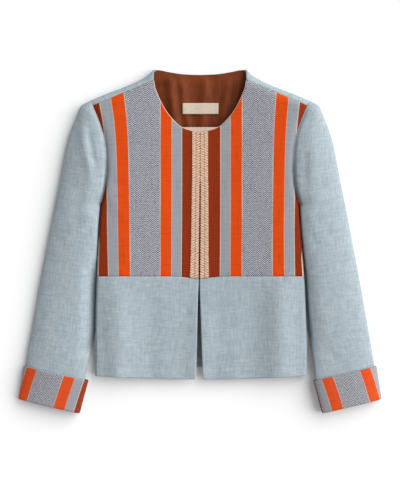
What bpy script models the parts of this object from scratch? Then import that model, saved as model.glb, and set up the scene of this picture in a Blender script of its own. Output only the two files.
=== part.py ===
"""Collarless linen blazer with striped fronts, laid out on its back and lightly filled out.

Metres, +Z up from the surface it lies on. +Y runs from the hem to the neck and +X is the wearer's left.
Each piece of cloth is an open surface with a wall of even thickness. The back lies flat, turns up round
its edges, and the fronts stand a few centimetres above it.
"""

from functools import partial

import bmesh
import bpy
import numpy as np

# Cloth and seams
CLOTH = 0.0018
CUFF_CLOTH = 0.0015
BRAID_CLOTH = 0.0014
THIN_CLOTH = 0.0010
SEAM_GAP = 0.0004
SIDE_SEAM = 0.0022
SHOULDER_GAP = 0.0011
CUFF_GAP = 0.0006
PIPING_RADIUS = 0.0009

# Round edges: the height of the outermost line and how far in the cloth levels off
EDGE_HEIGHT = 0.010
UNDER_REACH = 0.010
SIDE_REACH = 0.036
SHOULDER_REACH = 0.024
SLEEVE_REACH = 0.042
SHOULDER_REACH_FROM_Y = 0.262
SLEEVE_REACH_FROM_Y = 0.205
ON_LINE = 0.00015

# Places along the body
ARMPIT_Y = 0.0705
WAIST_SIDE_Y = -0.0685
WAIST_DIP = 0.0040
WAIST_DIP_WIDTH = 0.030
FRONT_HEM_SIDE_Y = -0.2612
FRONT_HEM_CENTRE_Y = -0.2680
BACK_HEM_SIDE_Y = -0.2606
BACK_HEM_CENTRE_Y = -0.2490

# Shoulder: the fold runs from the neck corner to the tip, the seam lies in front of it
NECK_CORNER = (0.0907, 0.3347)
FOLD_BEND = (0.1053, 0.3211)
SHOULDER_TIP = (0.2145, 0.2733)
SEAM_AT_NECK = (0.0907, 0.3131)
SEAM_AT_TIP = (0.2087, 0.2635)

# Trims
BRAID_WIDTH = 0.0175
CUFF_TURN_UP = 0.0625
CUFF_INSIDE = 0.012
CUFF_FLARE = 0.0045
CUFF_FLARE_POWER = 1.5
LABEL_SIZE = (0.0696, 0.0210)
LABEL_CENTRE = (0.0010, 0.2588)
UNDERLAP_HALF_WIDTH = 0.041
UNDERLAP_TOP_Y = 0.2210
UNDERLAP_BOTTOM_Y = 0.1750
LINING_HALF_WIDTH = 0.150
LINING_BOTTOM_Y = -0.050
LINING_TOP_INSET = 0.0010
LINING_CORNER = 0.0200
LINING_FOLD_LOW_Y = 0.080
LINING_FOLD_HIGH_Y = 0.190

# Soft dips and folds
ARMHOLE_DIP = 0.0020
ARMHOLE_DIP_WIDTH = 0.007
CROWN_BLEND = 0.034

# Resolution
SIDES = (("left", 1), ("right", -1))
LOWER_ROWS = 6
PEPLUM_ROWS = 8
BACK_ROWS = 8
FOLD_ROWS = 4
NECK_COLUMNS = 7
SHOULDER_COLUMNS = 8
BACK_NECK_COLUMNS = 6
SLEEVE_TOP_COLUMNS = 12
SLEEVE_UNDER_COLUMNS = 9
CUFF_ROWS = 5
CUFF_FOLD_STEPS = 4
BRAID_LINES = 3
LINING_FOLD_COLUMNS = 14
LINING_SIDE_COLUMNS = 3
LINING_ROWS = 7
LABEL_COLUMNS = 4
UNDERLAP_COLUMNS = 10
UNDERLAP_ROWS = 4
PATH_STEPS = 90
HALVINGS = 60
WELD = 0.00002

# Body sections: y, half_width at the side seam, loft of the front's outer face
BODY = (
    (-0.275, 0.2050, 0.0270),
    (-0.173, 0.2036, 0.0285),
    (-0.070, 0.1995, 0.0305),
    (0.002, 0.1965, 0.0315),
    (0.0705, 0.1932, 0.0320),
    (0.170, 0.1932, 0.0320),
    (0.260, 0.1932, 0.0310),
    (0.340, 0.1932, 0.0290),
)
HALF_WIDTH, LOFT = 1, 2

# Sleeve sections from the shoulder tip to the cuff edge: the inner end follows the armhole as far as the
# armpit, then the sleeve's inner edge. crown is the height of the upper side and lift that of the lower side
SLEEVE = (
    (0.2087, 0.2635, 0.2145, 0.2733, 0.0310, 0.0),
    (0.2015, 0.2470, 0.2321, 0.2635, 0.0335, 0.0),
    (0.1917, 0.2216, 0.2428, 0.2382, 0.0355, 0.0),
    (0.1856, 0.1992, 0.2525, 0.2148, 0.0370, 0.0),
    (0.1821, 0.1719, 0.2612, 0.1830, 0.0375, 0.0),
    (0.1816, 0.1450, 0.2670, 0.1540, 0.0375, 0.0),
    (0.1835, 0.1150, 0.2724, 0.1245, 0.0375, 0.0),
    (0.1880, 0.0900, 0.2770, 0.1010, 0.0370, 0.0),
    (0.1936, 0.0705, 0.2812, 0.0805, 0.0365, 0.0),
    (0.1972, 0.0300, 0.2890, 0.0410, 0.0360, 0.0),
    (0.2003, -0.0150, 0.2972, -0.0020, 0.0355, 0.0),
    (0.2041, -0.0650, 0.3063, -0.0490, 0.0345, 0.0),
    (0.2083, -0.1148, 0.3150, -0.0960, 0.0335, 0.0),
    (0.2140, -0.1733, 0.3245, -0.1510, 0.0325, 0.0),
    (0.2203, -0.2318, 0.3343, -0.2065, 0.0315, 0.0009),
    (0.2236, -0.2690, 0.3400, -0.2430, 0.0305, 0.0021),
    (0.2387, -0.3314, 0.3519, -0.3047, 0.0285, 0.0021),
)
INNER, OUTER, CROWN, LIFT = slice(0, 2), slice(2, 4), 4, 5
ARMPIT_ROW = 8
EDGE_OVERRUN = 0.030

# Half the gap between the two front edges: y, half_gap
FRONT_GAP = (
    (-0.275, 0.0078),
    (-0.232, 0.0060),
    (-0.183, 0.0039),
    (-0.136, 0.0025),
    (-0.072, 0.0009),
    (0.010, 0.0005),
    (0.225, 0.0003),
)

# Front neckline and back neck edge: x, y
NECKLINE = (
    (0.0000, 0.2105),
    (0.0170, 0.2136),
    (0.0370, 0.2210),
    (0.0546, 0.2372),
    (0.0663, 0.2518),
    (0.0800, 0.2772),
    (0.0848, 0.2889),
    (0.0889, 0.2996),
    (0.0907, 0.3131),
)
BACK_NECK = (
    (0.0000, 0.3250),
    (0.0310, 0.3262),
    (0.0605, 0.3305),
    (0.0800, 0.3342),
    (0.0907, 0.3347),
)

# Long soft folds of the fronts: x, spread, height (below 0 for a trough), y at its start, y where it is full
BODY_FOLDS = (
    (0.146, 0.030, 0.0034, -0.060, -0.230),
    (0.070, 0.032, -0.0022, -0.050, -0.230),
    (-0.117, 0.026, -0.0028, -0.060, -0.220),
    (-0.160, 0.020, 0.0016, -0.060, -0.200),
    (-0.062, 0.026, 0.0018, -0.060, -0.210),
)

# Upright folds of the lining in the neck: x, spread, height
LINING_FOLDS = (
    (-0.0550, 0.0075, 0.0036),
    (-0.0240, 0.0070, 0.0030),
    (0.0060, 0.0065, 0.0034),
    (0.0370, 0.0072, 0.0030),
    (0.0660, 0.0070, 0.0028),
)

# Materials: name, colour, roughness
LINEN = ("linen", (0.39, 0.45, 0.49), 0.85)
STRIPES = ("striped_cloth", (0.55, 0.10, 0.02), 0.80)
BRAID = ("braid", (0.60, 0.39, 0.28), 0.80)
CREAM = ("cream_cloth", (0.61, 0.50, 0.40), 0.85)
SATIN = ("lining_satin", (0.18, 0.048, 0.019), 0.45)


def follow(table, column, at):
    """One column of a table, read smoothly at the given places along its first column."""
    rows = np.array(sorted(table, key=lambda row: row[0]))
    place, value = rows[:, 0], rows[:, column]
    step = np.diff(place)
    slope = np.diff(value) / step
    rising = slope[:-1] * slope[1:] > 0
    total = np.where(rising, slope[:-1] + slope[1:], 1.0)
    inner = np.where(rising, 2 * slope[:-1] * slope[1:] / total, 0.0)
    tangent = np.concatenate([slope[:1], inner, slope[-1:]])
    at = np.asarray(at, float)
    low = np.clip(np.searchsorted(place, at) - 1, 0, len(step) - 1)
    t = np.clip((at - place[low]) / step[low], 0.0, 1.0)
    start = value[low] + t * t * (3 - 2 * t) * (value[low + 1] - value[low])
    bend = tangent[low] * t * (1 - t) ** 2 - tangent[low + 1] * t * t * (1 - t)
    return start + bend * step[low]


def path(points, steps):
    """A smooth line through hand-placed points, as an array of evenly spaced places."""
    points = np.array(points, float)
    run = np.concatenate([[0.0], np.cumsum(np.linalg.norm(np.diff(points, axis=0), axis=1))])
    at = np.linspace(0.0, run[-1], steps)
    table = np.column_stack([run, points])
    return np.column_stack([follow(table, 1 + axis, at) for axis in range(points.shape[1])])


def overrun(line, length):
    """The line with one more point past its end, in the direction that it has there."""
    direction = line[-1] - line[-3]
    return np.vstack([line, line[-1] + direction / np.linalg.norm(direction) * length])


def distance(line, x, y):
    """How far each place lies from a line, seen from above."""
    start, end = line[:-1], line[1:]
    run = end - start
    place = np.stack([np.asarray(x, float), np.asarray(y, float)], axis=-1)[..., None, :]
    share = ((place - start) * run).sum(-1) / (run * run).sum(-1)
    nearest = start + np.clip(share, 0.0, 1.0)[..., None] * run
    away = np.linalg.norm(place - nearest, axis=-1).min(-1)
    return np.maximum(away - ON_LINE, 0.0)


def rounded(share):
    """A quarter circle: 0 at the edge, level from 1 on."""
    share = np.clip(share, 0.0, 1.0)
    return np.sqrt(1 - (1 - share) ** 2)


def smooth(share):
    """A soft step from 0 to 1."""
    share = np.clip(share, 0.0, 1.0)
    return share * share * (3 - 2 * share)


SLEEVE_ROWS = np.array(SLEEVE)
ARMHOLE = path(SLEEVE_ROWS[: ARMPIT_ROW + 1, INNER], PATH_STEPS)
SLEEVE_EDGE = overrun(path(SLEEVE_ROWS[ARMPIT_ROW:, INNER], PATH_STEPS), EDGE_OVERRUN)
OUTER_POINTS = [NECK_CORNER, FOLD_BEND] + [tuple(row[OUTER]) for row in SLEEVE_ROWS]
OUTER_EDGE = overrun(path(OUTER_POINTS, PATH_STEPS), EDGE_OVERRUN)
SIDE_Y = np.linspace(BODY[0][0], ARMPIT_Y, PATH_STEPS)
BODY_SIDE = np.column_stack([follow(BODY, HALF_WIDTH, SIDE_Y) - SEAM_GAP, SIDE_Y])
SEAM_SLOPE = (SEAM_AT_TIP[1] - SEAM_AT_NECK[1]) / (SEAM_AT_TIP[0] - SEAM_AT_NECK[0])


def reach(y):
    """How far the upper side takes to level off behind the outer edge."""
    share = (SHOULDER_REACH_FROM_Y - y) / (SHOULDER_REACH_FROM_Y - SLEEVE_REACH_FROM_Y)
    return SHOULDER_REACH + (SLEEVE_REACH - SHOULDER_REACH) * smooth(share)


def upper_side(x, y, side_edge, loft, lift=0.0):
    rise = rounded(distance(OUTER_EDGE, x, y) / reach(y)) * rounded(distance(side_edge, x, y) / SIDE_REACH)
    dip = ARMHOLE_DIP * np.exp(-((distance(ARMHOLE, x, y) / ARMHOLE_DIP_WIDTH) ** 2))
    base = EDGE_HEIGHT + lift
    return base + (loft - dip - base) * rise


def under_side(x, y, side_edge, lift=0.0):
    edge = np.minimum(distance(OUTER_EDGE, x, y), distance(side_edge, x, y))
    return lift + EDGE_HEIGHT * (1 - rounded(edge / UNDER_REACH))


def front_height(x, y):
    """Outer face of the fronts, with their long folds."""
    loft = follow(BODY, LOFT, y)
    for centre, spread, height, start, full in BODY_FOLDS:
        loft = loft + height * np.exp(-(((x - centre) / spread) ** 2)) * smooth((start - y) / (start - full))
    return upper_side(np.abs(x), y, BODY_SIDE, loft, SIDE_SEAM)


def back_height(x, y):
    return under_side(np.abs(x), y, BODY_SIDE)


def body_edge(y):
    """Where the body ends at each height: side seam, then armhole, then the shoulder's own end."""
    armhole = [(row[1], row[0]) for row in SLEEVE_ROWS[: ARMPIT_ROW + 1]]
    armhole.append((SHOULDER_TIP[1], SHOULDER_TIP[0]))
    side = follow(BODY, HALF_WIDTH, y)
    return np.where(y > ARMPIT_Y, follow(armhole, 1, y), side) - SEAM_GAP


def waist_y(x):
    return WAIST_SIDE_Y - WAIST_DIP * np.exp(-((x / WAIST_DIP_WIDTH) ** 2))


def shoulder_seam_y(x):
    return SEAM_AT_NECK[1] + (x - SEAM_AT_NECK[0]) * SEAM_SLOPE


def shoulder_fold_y(x):
    return np.interp(x, OUTER_EDGE[:, 0], OUTER_EDGE[:, 1])


def meet(line_x, top_y):
    """The height at which a panel's upright line reaches the edge above it."""
    low, high = ARMPIT_Y, NECK_CORNER[1] + EDGE_OVERRUN
    for _ in range(HALVINGS):
        middle = (low + high) / 2
        if middle < top_y(line_x(middle)):
            low = middle
        else:
            high = middle
    return (low + high) / 2


def fine_towards_end(steps):
    """Shares from 0 to 1 that crowd together at 1."""
    return np.sin(np.linspace(0.0, np.pi / 2, steps + 1))


def fine_at_both_ends(steps):
    return (1 - np.cos(np.linspace(0.0, np.pi, steps + 1))) / 2


def braid_line(share, y):
    return follow(FRONT_GAP, 1, y) + share * BRAID_WIDTH


def inside_line(share, y):
    start = follow(FRONT_GAP, 1, y) + BRAID_WIDTH
    return start + share * (body_edge(y) - start)


def back_line(share, y):
    return share * body_edge(y)


def front_lines():
    """The upright lines of a front: across the braid, on as far as the neck corner, then to the side."""
    corner = (SEAM_AT_NECK[0] - BRAID_WIDTH) / (SHOULDER_TIP[0] - BRAID_WIDTH)
    neck = corner * fine_towards_end(NECK_COLUMNS)
    shoulder = corner + (1 - corner) * fine_towards_end(SHOULDER_COLUMNS)
    lines = [partial(braid_line, share) for share in (0.0, 0.5)]
    return lines + [partial(inside_line, share) for share in (*neck, *shoulder[1:])]


def front_top_y(x):
    neckline = follow(NECKLINE, 1, x)
    return np.where(x < SEAM_AT_NECK[0], neckline, shoulder_seam_y(x) - SHOULDER_GAP)


def armhole_shares():
    """Heights of the armhole's sections as shares from the armpit to the shoulder tip."""
    heights = SLEEVE_ROWS[ARMPIT_ROW::-1, 1]
    return (heights - heights[0]) / (heights[-1] - heights[0])


def front_grid(lines):
    """Points of a striped front, row by row from the waist seam up, for the wearer's left."""
    columns = []
    for index, line in enumerate(lines):
        low = float(waist_y(line(WAIST_SIDE_Y))) + SEAM_GAP / 2
        top = meet(line, front_top_y)
        if index == len(lines) - 1:
            top = SEAM_AT_TIP[1] - SHOULDER_GAP
        lower = np.linspace(low, ARMPIT_Y, LOWER_ROWS + 1)
        upper = ARMPIT_Y + armhole_shares()[1:] * (top - ARMPIT_Y)
        y = np.concatenate([lower, upper])
        columns.append(np.column_stack([line(y), y]))
    return np.stack(columns, axis=1)


def peplum_grid(lines):
    columns = []
    for line in lines:
        x = float(line(WAIST_SIDE_Y))
        share = (x / float(body_edge(WAIST_SIDE_Y))) ** 2
        low = FRONT_HEM_CENTRE_Y + (FRONT_HEM_SIDE_Y - FRONT_HEM_CENTRE_Y) * share
        y = np.linspace(low, float(waist_y(x)) - SEAM_GAP / 2, PEPLUM_ROWS + 1)
        columns.append(np.column_stack([line(y), y]))
    return np.stack(columns, axis=1)


def standing(grid, height, side=1):
    """A flat grid lifted to its height and set on the wearer's left (1) or right (-1)."""
    x, y = grid[..., 0] * side, grid[..., 1]
    return np.stack([x, y, height(x, y)], axis=-1)


def back_shares():
    """Columns of the back from its middle: first under the neck, then under the shoulder."""
    corner = NECK_CORNER[0] / (SHOULDER_TIP[0] - SEAM_GAP)
    neck = np.linspace(0.0, corner, BACK_NECK_COLUMNS + 1)
    shoulder = corner + (1 - corner) * fine_towards_end(SHOULDER_COLUMNS)
    return np.concatenate([neck, shoulder[1:]])


def back_ends(line, share, on_neck):
    """Where a column of the back leaves the flat, and where it ends at the neck or on the shoulder fold."""
    if share == 1.0:
        return SEAM_AT_TIP[1], SHOULDER_TIP[1]
    if on_neck:
        top = meet(line, partial(follow, BACK_NECK, 1))
        return top - (NECK_CORNER[1] - SEAM_AT_NECK[1]), top
    return meet(line, shoulder_seam_y), meet(line, shoulder_fold_y)


def back_grids():
    """The back from hem to neck and shoulder fold, and the strip that turns over the shoulder."""
    flat, strip = [], []
    for index, share in enumerate(back_shares()):
        line = partial(back_line, share)
        seam, top = back_ends(line, share, index < BACK_NECK_COLUMNS)
        hem = BACK_HEM_CENTRE_Y + (BACK_HEM_SIDE_Y - BACK_HEM_CENTRE_Y) * share**2
        lower = np.linspace(hem, ARMPIT_Y, BACK_ROWS + 1)
        upper = ARMPIT_Y + armhole_shares()[1:] * (seam - ARMPIT_Y)
        fold = seam + fine_towards_end(FOLD_ROWS) * (top - seam)
        y = np.concatenate([lower, upper, fold[1:]])
        flat.append(np.column_stack([line(y), y]))
        if index >= BACK_NECK_COLUMNS:
            strip.append(np.column_stack([line(fold), fold])[::-1])
    return np.stack(flat, axis=1), np.stack(strip, axis=1)


def mirrored(points):
    return points * np.array([-1.0, 1.0, 1.0])


def sleeve_ring(row):
    """One section of a sleeve: over its upper side from the inner end to the outer, and back underneath."""
    inner, outer = row[INNER], row[OUTER]
    over = inner + fine_at_both_ends(SLEEVE_TOP_COLUMNS)[:, None] * (outer - inner)
    under = outer + fine_at_both_ends(SLEEVE_UNDER_COLUMNS)[:, None] * (inner - outer)
    x, y = over.T
    body = follow(BODY, LOFT, y)
    loft = body + (row[CROWN] - body) * smooth(distance(ARMHOLE, x, y) / CROWN_BLEND)
    upper = np.column_stack([x, y, upper_side(x, y, SLEEVE_EDGE, loft, row[LIFT])])
    x, y = under[1:].T
    lower = np.column_stack([x, y, under_side(x, y, SLEEVE_EDGE, row[LIFT])])
    return np.vstack([upper, lower])


def moved_out(ring, row, amount):
    """A closed section moved out by an amount, in its own upright plane."""
    across = (row[OUTER] - row[INNER]) / np.linalg.norm(row[OUTER] - row[INNER])
    loop = ring[:-1]
    flat = np.column_stack([loop[:, :2] @ across, loop[:, 2]])
    after = np.roll(flat, -1, axis=0) - flat
    after /= np.linalg.norm(after, axis=1)[:, None]
    before = np.roll(after, 1, axis=0)
    along = (before + after) / np.linalg.norm(before + after, axis=1)[:, None]
    normal = np.column_stack([-along[:, 1], along[:, 0]])
    mitre = 1 / (along * after).sum(1)
    move = normal * (amount(normal[:, 1]) * mitre)[:, None]
    out = loop + np.column_stack([move[:, :1] * across, move[:, 1]])
    return np.vstack([out, out[:1]])


def sleeve_row(share):
    """Sleeve section in the cuff: 0 at the cuff's upper edge, 1 at the sleeve's end, more beyond it."""
    top, end = SLEEVE_ROWS[-2:]
    return top + share * (end - top)


def cuff_amount(flare, depth, facing):
    """How far a cuff's outer face stands from the sleeve: it flares on top and lies close underneath."""
    return depth + flare * np.clip((1 + facing) / 2, 0.0, 1.0)


def cuff_rings():
    """A turned-back cuff: down the outside, round the sleeve's end and a little way up the inside."""
    length = np.linalg.norm(sleeve_row(1.0)[INNER] - sleeve_row(0.0)[INNER])
    outside = CUFF_GAP + CUFF_CLOTH
    inside = -(CLOTH + outside)
    turn = (outside - inside) / 2
    stations = []
    for up in np.linspace(CUFF_TURN_UP, 0.0, CUFF_ROWS):
        stations.append((-up, CUFF_FLARE * (up / CUFF_TURN_UP) ** CUFF_FLARE_POWER, outside))
    for angle in np.linspace(0.0, np.pi, CUFF_FOLD_STEPS + 1)[1:]:
        stations.append((SEAM_GAP + turn * np.sin(angle), 0.0, inside + turn * (1 + np.cos(angle))))
    stations.append((-CUFF_INSIDE, 0.0, inside))
    rings = []
    for past_end, flare, depth in stations:
        row = sleeve_row(1 + past_end / length)
        rings.append(moved_out(sleeve_ring(row), row, partial(cuff_amount, flare, depth)))
    return np.stack(rings)


def lining_height(x, y):
    """Inner face of the lining, with its upright folds."""
    fold = sum(height * np.exp(-(((x - centre) / spread) ** 2)) for centre, spread, height in LINING_FOLDS)
    fade = smooth((y - LINING_FOLD_LOW_Y) / (LINING_FOLD_HIGH_Y - LINING_FOLD_LOW_Y))
    return CLOTH + SEAM_GAP + THIN_CLOTH + fold * fade


def lining_top_y(x):
    """Just under the neck edge, clear of the curled neck corner, and below the shoulders beyond it."""
    if x > NECK_CORNER[0]:
        return float(shoulder_fold_y(x)) - SHOULDER_REACH
    beside = np.clip(NECK_CORNER[0] - x, 0.0, LINING_CORNER)
    round_corner = NECK_CORNER[1] - np.sqrt(LINING_CORNER**2 - beside**2)
    return min(float(follow(BACK_NECK, 1, x)) - LINING_TOP_INSET, round_corner)


def lining_grid():
    """Fine lines where the folds are and wider ones beyond the neck."""
    folded = np.linspace(0.0, NECK_CORNER[0] - LINING_CORNER / 2, LINING_FOLD_COLUMNS + 1)
    plain = np.linspace(folded[-1], LINING_HALF_WIDTH, LINING_SIDE_COLUMNS + 1)[1:]
    half = np.concatenate([folded, plain])
    columns = []
    for x in np.concatenate([-half[:0:-1], half]):
        y = LINING_BOTTOM_Y + fine_towards_end(LINING_ROWS) * (lining_top_y(abs(x)) - LINING_BOTTOM_Y)
        columns.append(np.column_stack([np.full_like(y, x), y]))
    return np.stack(columns, axis=1)


def rectangle(low, high, across, along):
    x, y = np.meshgrid(np.linspace(low[0], high[0], across + 1), np.linspace(low[1], high[1], along + 1))
    return np.stack([x, y], axis=-1)


def make_material(spec):
    name, colour, roughness = spec
    material = bpy.data.materials.get(name)
    if material is None:
        material = bpy.data.materials.new(name)
        material.use_nodes = True
        shader = material.node_tree.nodes["Principled BSDF"]
        shader.inputs["Base Color"].default_value = (*colour, 1.0)
        shader.inputs["Roughness"].default_value = roughness
        shader.inputs["Metallic"].default_value = 0.0
    return material


def add_to_part(data, name, spec):
    obj = bpy.data.objects.new(name, data)
    bpy.data.collections["linen_blazer"].objects.link(obj)
    data.materials.append(make_material(spec))
    return obj


def cloth(name, grids, thickness, spec, turned=False):
    """Grids of points as one open surface, welded where they meet, with a wall on its inner side."""
    shape = bmesh.new()
    for grid in grids:
        points = [[shape.verts.new(point) for point in row] for row in grid]
        for low, high in zip(points, points[1:]):
            for a, b, c, d in zip(low, low[1:], high[1:], high):
                shape.faces.new((d, c, b, a) if turned else (a, b, c, d))
    bmesh.ops.remove_doubles(shape, verts=shape.verts, dist=WELD)
    mesh = bpy.data.meshes.new(name)
    shape.to_mesh(mesh)
    shape.free()
    mesh.shade_smooth()
    wall = add_to_part(mesh, name, spec).modifiers.new("wall", "SOLIDIFY")
    wall.thickness = thickness
    wall.offset = -1.0
    wall.use_even_offset = True


def piping(name, lines, side):
    """A narrow cord just outside the front neckline, from the braid to the shoulder seam."""
    tops = [meet(line, front_top_y) for line in lines]
    edge = np.array([(float(line(top)), top) for line, top in zip(lines, tops)])
    run = np.gradient(edge, axis=0)
    run /= np.linalg.norm(run, axis=1)[:, None]
    out = edge + np.column_stack([-run[:, 1], run[:, 0]]) * (PIPING_RADIUS + SEAM_GAP)
    z = front_height(edge[:, 0] * side, edge[:, 1]) - PIPING_RADIUS
    curve = bpy.data.curves.new(name, "CURVE")
    curve.dimensions = "3D"
    curve.bevel_depth = PIPING_RADIUS
    curve.bevel_resolution = 1
    curve.use_fill_caps = True
    spline = curve.splines.new("POLY")
    spline.points.add(len(out) - 1)
    for point, (x, y), height in zip(spline.points, out, z):
        point.co = (x * side, y, height, 1.0)
    add_to_part(curve, name, CREAM)


def build_back():
    flat, strip = back_grids()
    flat, strip = standing(flat, back_height), standing(strip, front_height)
    flat[-1, BACK_NECK_COLUMNS:, 2] = EDGE_HEIGHT
    strip[0, :, 2] = EDGE_HEIGHT
    halves = [flat, strip, mirrored(flat)[:, ::-1], mirrored(strip)[:, ::-1]]
    cloth("back", halves, CLOTH, LINEN, turned=True)


def above_front(x, y):
    return front_height(x, y) + SEAM_GAP + BRAID_CLOTH


def behind_front(x, y):
    return front_height(x, y) - CLOTH - SEAM_GAP


def label_height(x, y):
    crest = max(height for _, _, height in LINING_FOLDS)
    return np.full_like(x, CLOTH + crest + 2 * (SEAM_GAP + THIN_CLOTH))


def build_fronts():
    lines = front_lines()
    front, peplum = front_grid(lines), peplum_grid(lines)
    for name, side in SIDES:
        turned = side < 0
        cloth("front_" + name, [standing(front, front_height, side)], CLOTH, STRIPES, turned)
        cloth("peplum_" + name, [standing(peplum, front_height, side)], CLOTH, LINEN, turned)
        braid = standing(front[:, :BRAID_LINES], above_front, side)
        cloth("braid_" + name, [braid], BRAID_CLOTH, BRAID, turned)
        piping("neck_piping_" + name, lines[BRAID_LINES - 1 : BRAID_LINES + NECK_COLUMNS], side)


def build_sleeves():
    sleeve = np.stack([sleeve_ring(row) for row in SLEEVE_ROWS])
    sleeve[ARMPIT_ROW:, -1] = sleeve[ARMPIT_ROW:, 0]
    cuff = cuff_rings()
    for name, side in SIDES:
        place = np.array([side, 1.0, 1.0])
        cloth("sleeve_" + name, [sleeve * place], CLOTH, LINEN, turned=side > 0)
        cloth("cuff_" + name, [cuff * place], CUFF_CLOTH, STRIPES, turned=side > 0)


def build_neck_pieces():
    cloth("lining", [standing(lining_grid(), lining_height)], THIN_CLOTH, SATIN)
    half = np.array(LABEL_SIZE) / 2
    label = rectangle(LABEL_CENTRE - half, LABEL_CENTRE + half, LABEL_COLUMNS, 1)
    cloth("label", [standing(label, label_height)], THIN_CLOTH, CREAM)
    low = (-UNDERLAP_HALF_WIDTH, UNDERLAP_BOTTOM_Y)
    high = (UNDERLAP_HALF_WIDTH, UNDERLAP_TOP_Y)
    underlap = rectangle(low, high, UNDERLAP_COLUMNS, UNDERLAP_ROWS)
    cloth("neck_underlap", [standing(underlap, behind_front)], THIN_CLOTH, CREAM)


def build():
    for obj in list(bpy.data.objects):
        bpy.data.objects.remove(obj)
    part = bpy.data.collections.new("linen_blazer")
    bpy.context.scene.collection.children.link(part)
    build_back()
    build_fronts()
    build_sleeves()
    build_neck_pieces()


build()
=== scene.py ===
"""Looks of a collarless linen blazer with striped fronts, laid out on its back.

Metres, +Z up from the floor, +Y from the hem to the neck and +X to the wearer's left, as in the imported
part. Each piece of cloth is a thin shell on the form of its solid, with seams, folds and puckers.
"""

from functools import partial

import bpy
import numpy as np
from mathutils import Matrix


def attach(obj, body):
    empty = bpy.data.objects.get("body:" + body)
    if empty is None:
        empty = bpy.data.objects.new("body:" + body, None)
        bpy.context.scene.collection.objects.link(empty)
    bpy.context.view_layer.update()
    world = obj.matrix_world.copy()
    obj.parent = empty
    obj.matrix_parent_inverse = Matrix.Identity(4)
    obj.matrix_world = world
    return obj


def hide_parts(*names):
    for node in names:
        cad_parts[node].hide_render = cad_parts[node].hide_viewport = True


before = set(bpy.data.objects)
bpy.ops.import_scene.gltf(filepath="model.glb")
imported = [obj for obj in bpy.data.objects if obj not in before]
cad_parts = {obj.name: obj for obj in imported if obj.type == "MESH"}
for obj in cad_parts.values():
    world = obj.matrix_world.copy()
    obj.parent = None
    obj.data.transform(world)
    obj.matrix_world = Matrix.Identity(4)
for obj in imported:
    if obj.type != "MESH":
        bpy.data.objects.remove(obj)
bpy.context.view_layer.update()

# Cloth and seams
CLOTH = 0.0018
CUFF_CLOTH = 0.0015
BRAID_CLOTH = 0.0009
THIN_CLOTH = 0.0008
HEM_CLOTH = 0.0009
SEAM_GAP = 0.0004
SIDE_SEAM = 0.0010
SHOULDER_GAP = 0.0005
CUFF_GAP = 0.0006
# The cream cord on the front neckline is a painted highlight along that edge
HIGHLIGHT_CORD_RADIUS = 0.0009
HIGHLIGHT_CORD_OUT = 0.6 * HIGHLIGHT_CORD_RADIUS
HIGHLIGHT_CORD_DOWN = 1.7 * HIGHLIGHT_CORD_RADIUS
RIM_ROUND = 0.35

# Round edges: the height of the outermost line and how far in the cloth levels off
EDGE_HEIGHT = 0.010
UNDER_REACH = 0.010
SIDE_REACH = 0.036
SLEEVE_SIDE_REACH = 0.030

# Where sleeve and body lie side by side, both roll down tightly into the crease between them
SLEEVE_EDGE_DROP = 0.0080
SLEEVE_EDGE_FADE = 0.045
SLEEVE_EDGE_RAISE = 0.0040
SLEEVE_RAISE_FROM_Y, SLEEVE_RAISE_LENGTH = -0.190, 0.045
BODY_EDGE_RAISE = 0.0080
BODY_ROLL, BODY_ROLL_REACH = 0.68, 0.0032
SLEEVE_ROLL, SLEEVE_ROLL_REACH = 0.58, 0.0028

# The bottom of that crease is a flat strip of the sleeve, of this width beside the waist
CREASE_FLOOR = {"left": 0.0042, "right": 0.0}
CREASE_FLOOR_FROM_Y, CREASE_FLOOR_LENGTH = 0.020, 0.100
CREASE_FLOOR_END_Y, CREASE_FLOOR_END_LENGTH = -0.212, 0.035

# Further down, the sleeve's inner edge lies low and rises slowly, and nearer the cuff it is close again
LOW_EDGE_REACH = 0.034
LOW_EDGE_FROM_Y, LOW_EDGE_LENGTH = 0.005, 0.100
LOW_EDGE_END_Y, LOW_EDGE_END_LENGTH = -0.245, 0.050
LOW_EDGE_SHARE = {"left": 0.15, "right": 1.0}

# The outer edge of the sleeves and the shoulder fold
SHOULDER_REACH = 0.024
SLEEVE_REACH = 0.072
SHOULDER_REACH_FROM_Y = 0.262
SLEEVE_REACH_FROM_Y = 0.205
ON_LINE = 0.00015

# Places along the body
ARMPIT_Y = 0.0705
WAIST_SIDE_Y = -0.0685
WAIST_DIP = 0.0040
WAIST_DIP_WIDTH = 0.030
FRONT_HEM_SIDE_Y = -0.2612
FRONT_HEM_CENTRE_Y = -0.2680
BACK_HEM_SIDE_Y = -0.2606
BACK_HEM_CENTRE_Y = -0.2455
HEM_TURN_UP = 0.020
HEM_INSET = 0.0008
HEM_SHARE = 0.93

# Shoulder: the fold runs from the neck corner to the tip, the seam lies in front of it
NECK_CORNER = (0.0907, 0.3347)
FOLD_BEND = (0.1053, 0.3211)
SHOULDER_TIP = (0.2145, 0.2733)
SEAM_AT_NECK = (0.0907, 0.3131)
SEAM_AT_TIP = (0.2087, 0.2635)

# Trims
BRAID_COLUMNS = 2
BRAID_KNOT = 0.0047
BRAID_SLANT = 0.40
BRAID_RELIEF = 0.0010
BRAID_DRIFT = 0.20
BRAID_UNEVEN = 0.25
BRAID_START = {"left": 0.0, "right": 0.1370}
BRAID_COLUMN_START = 0.0410
BRAID_LEVEL = 0.4
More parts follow.
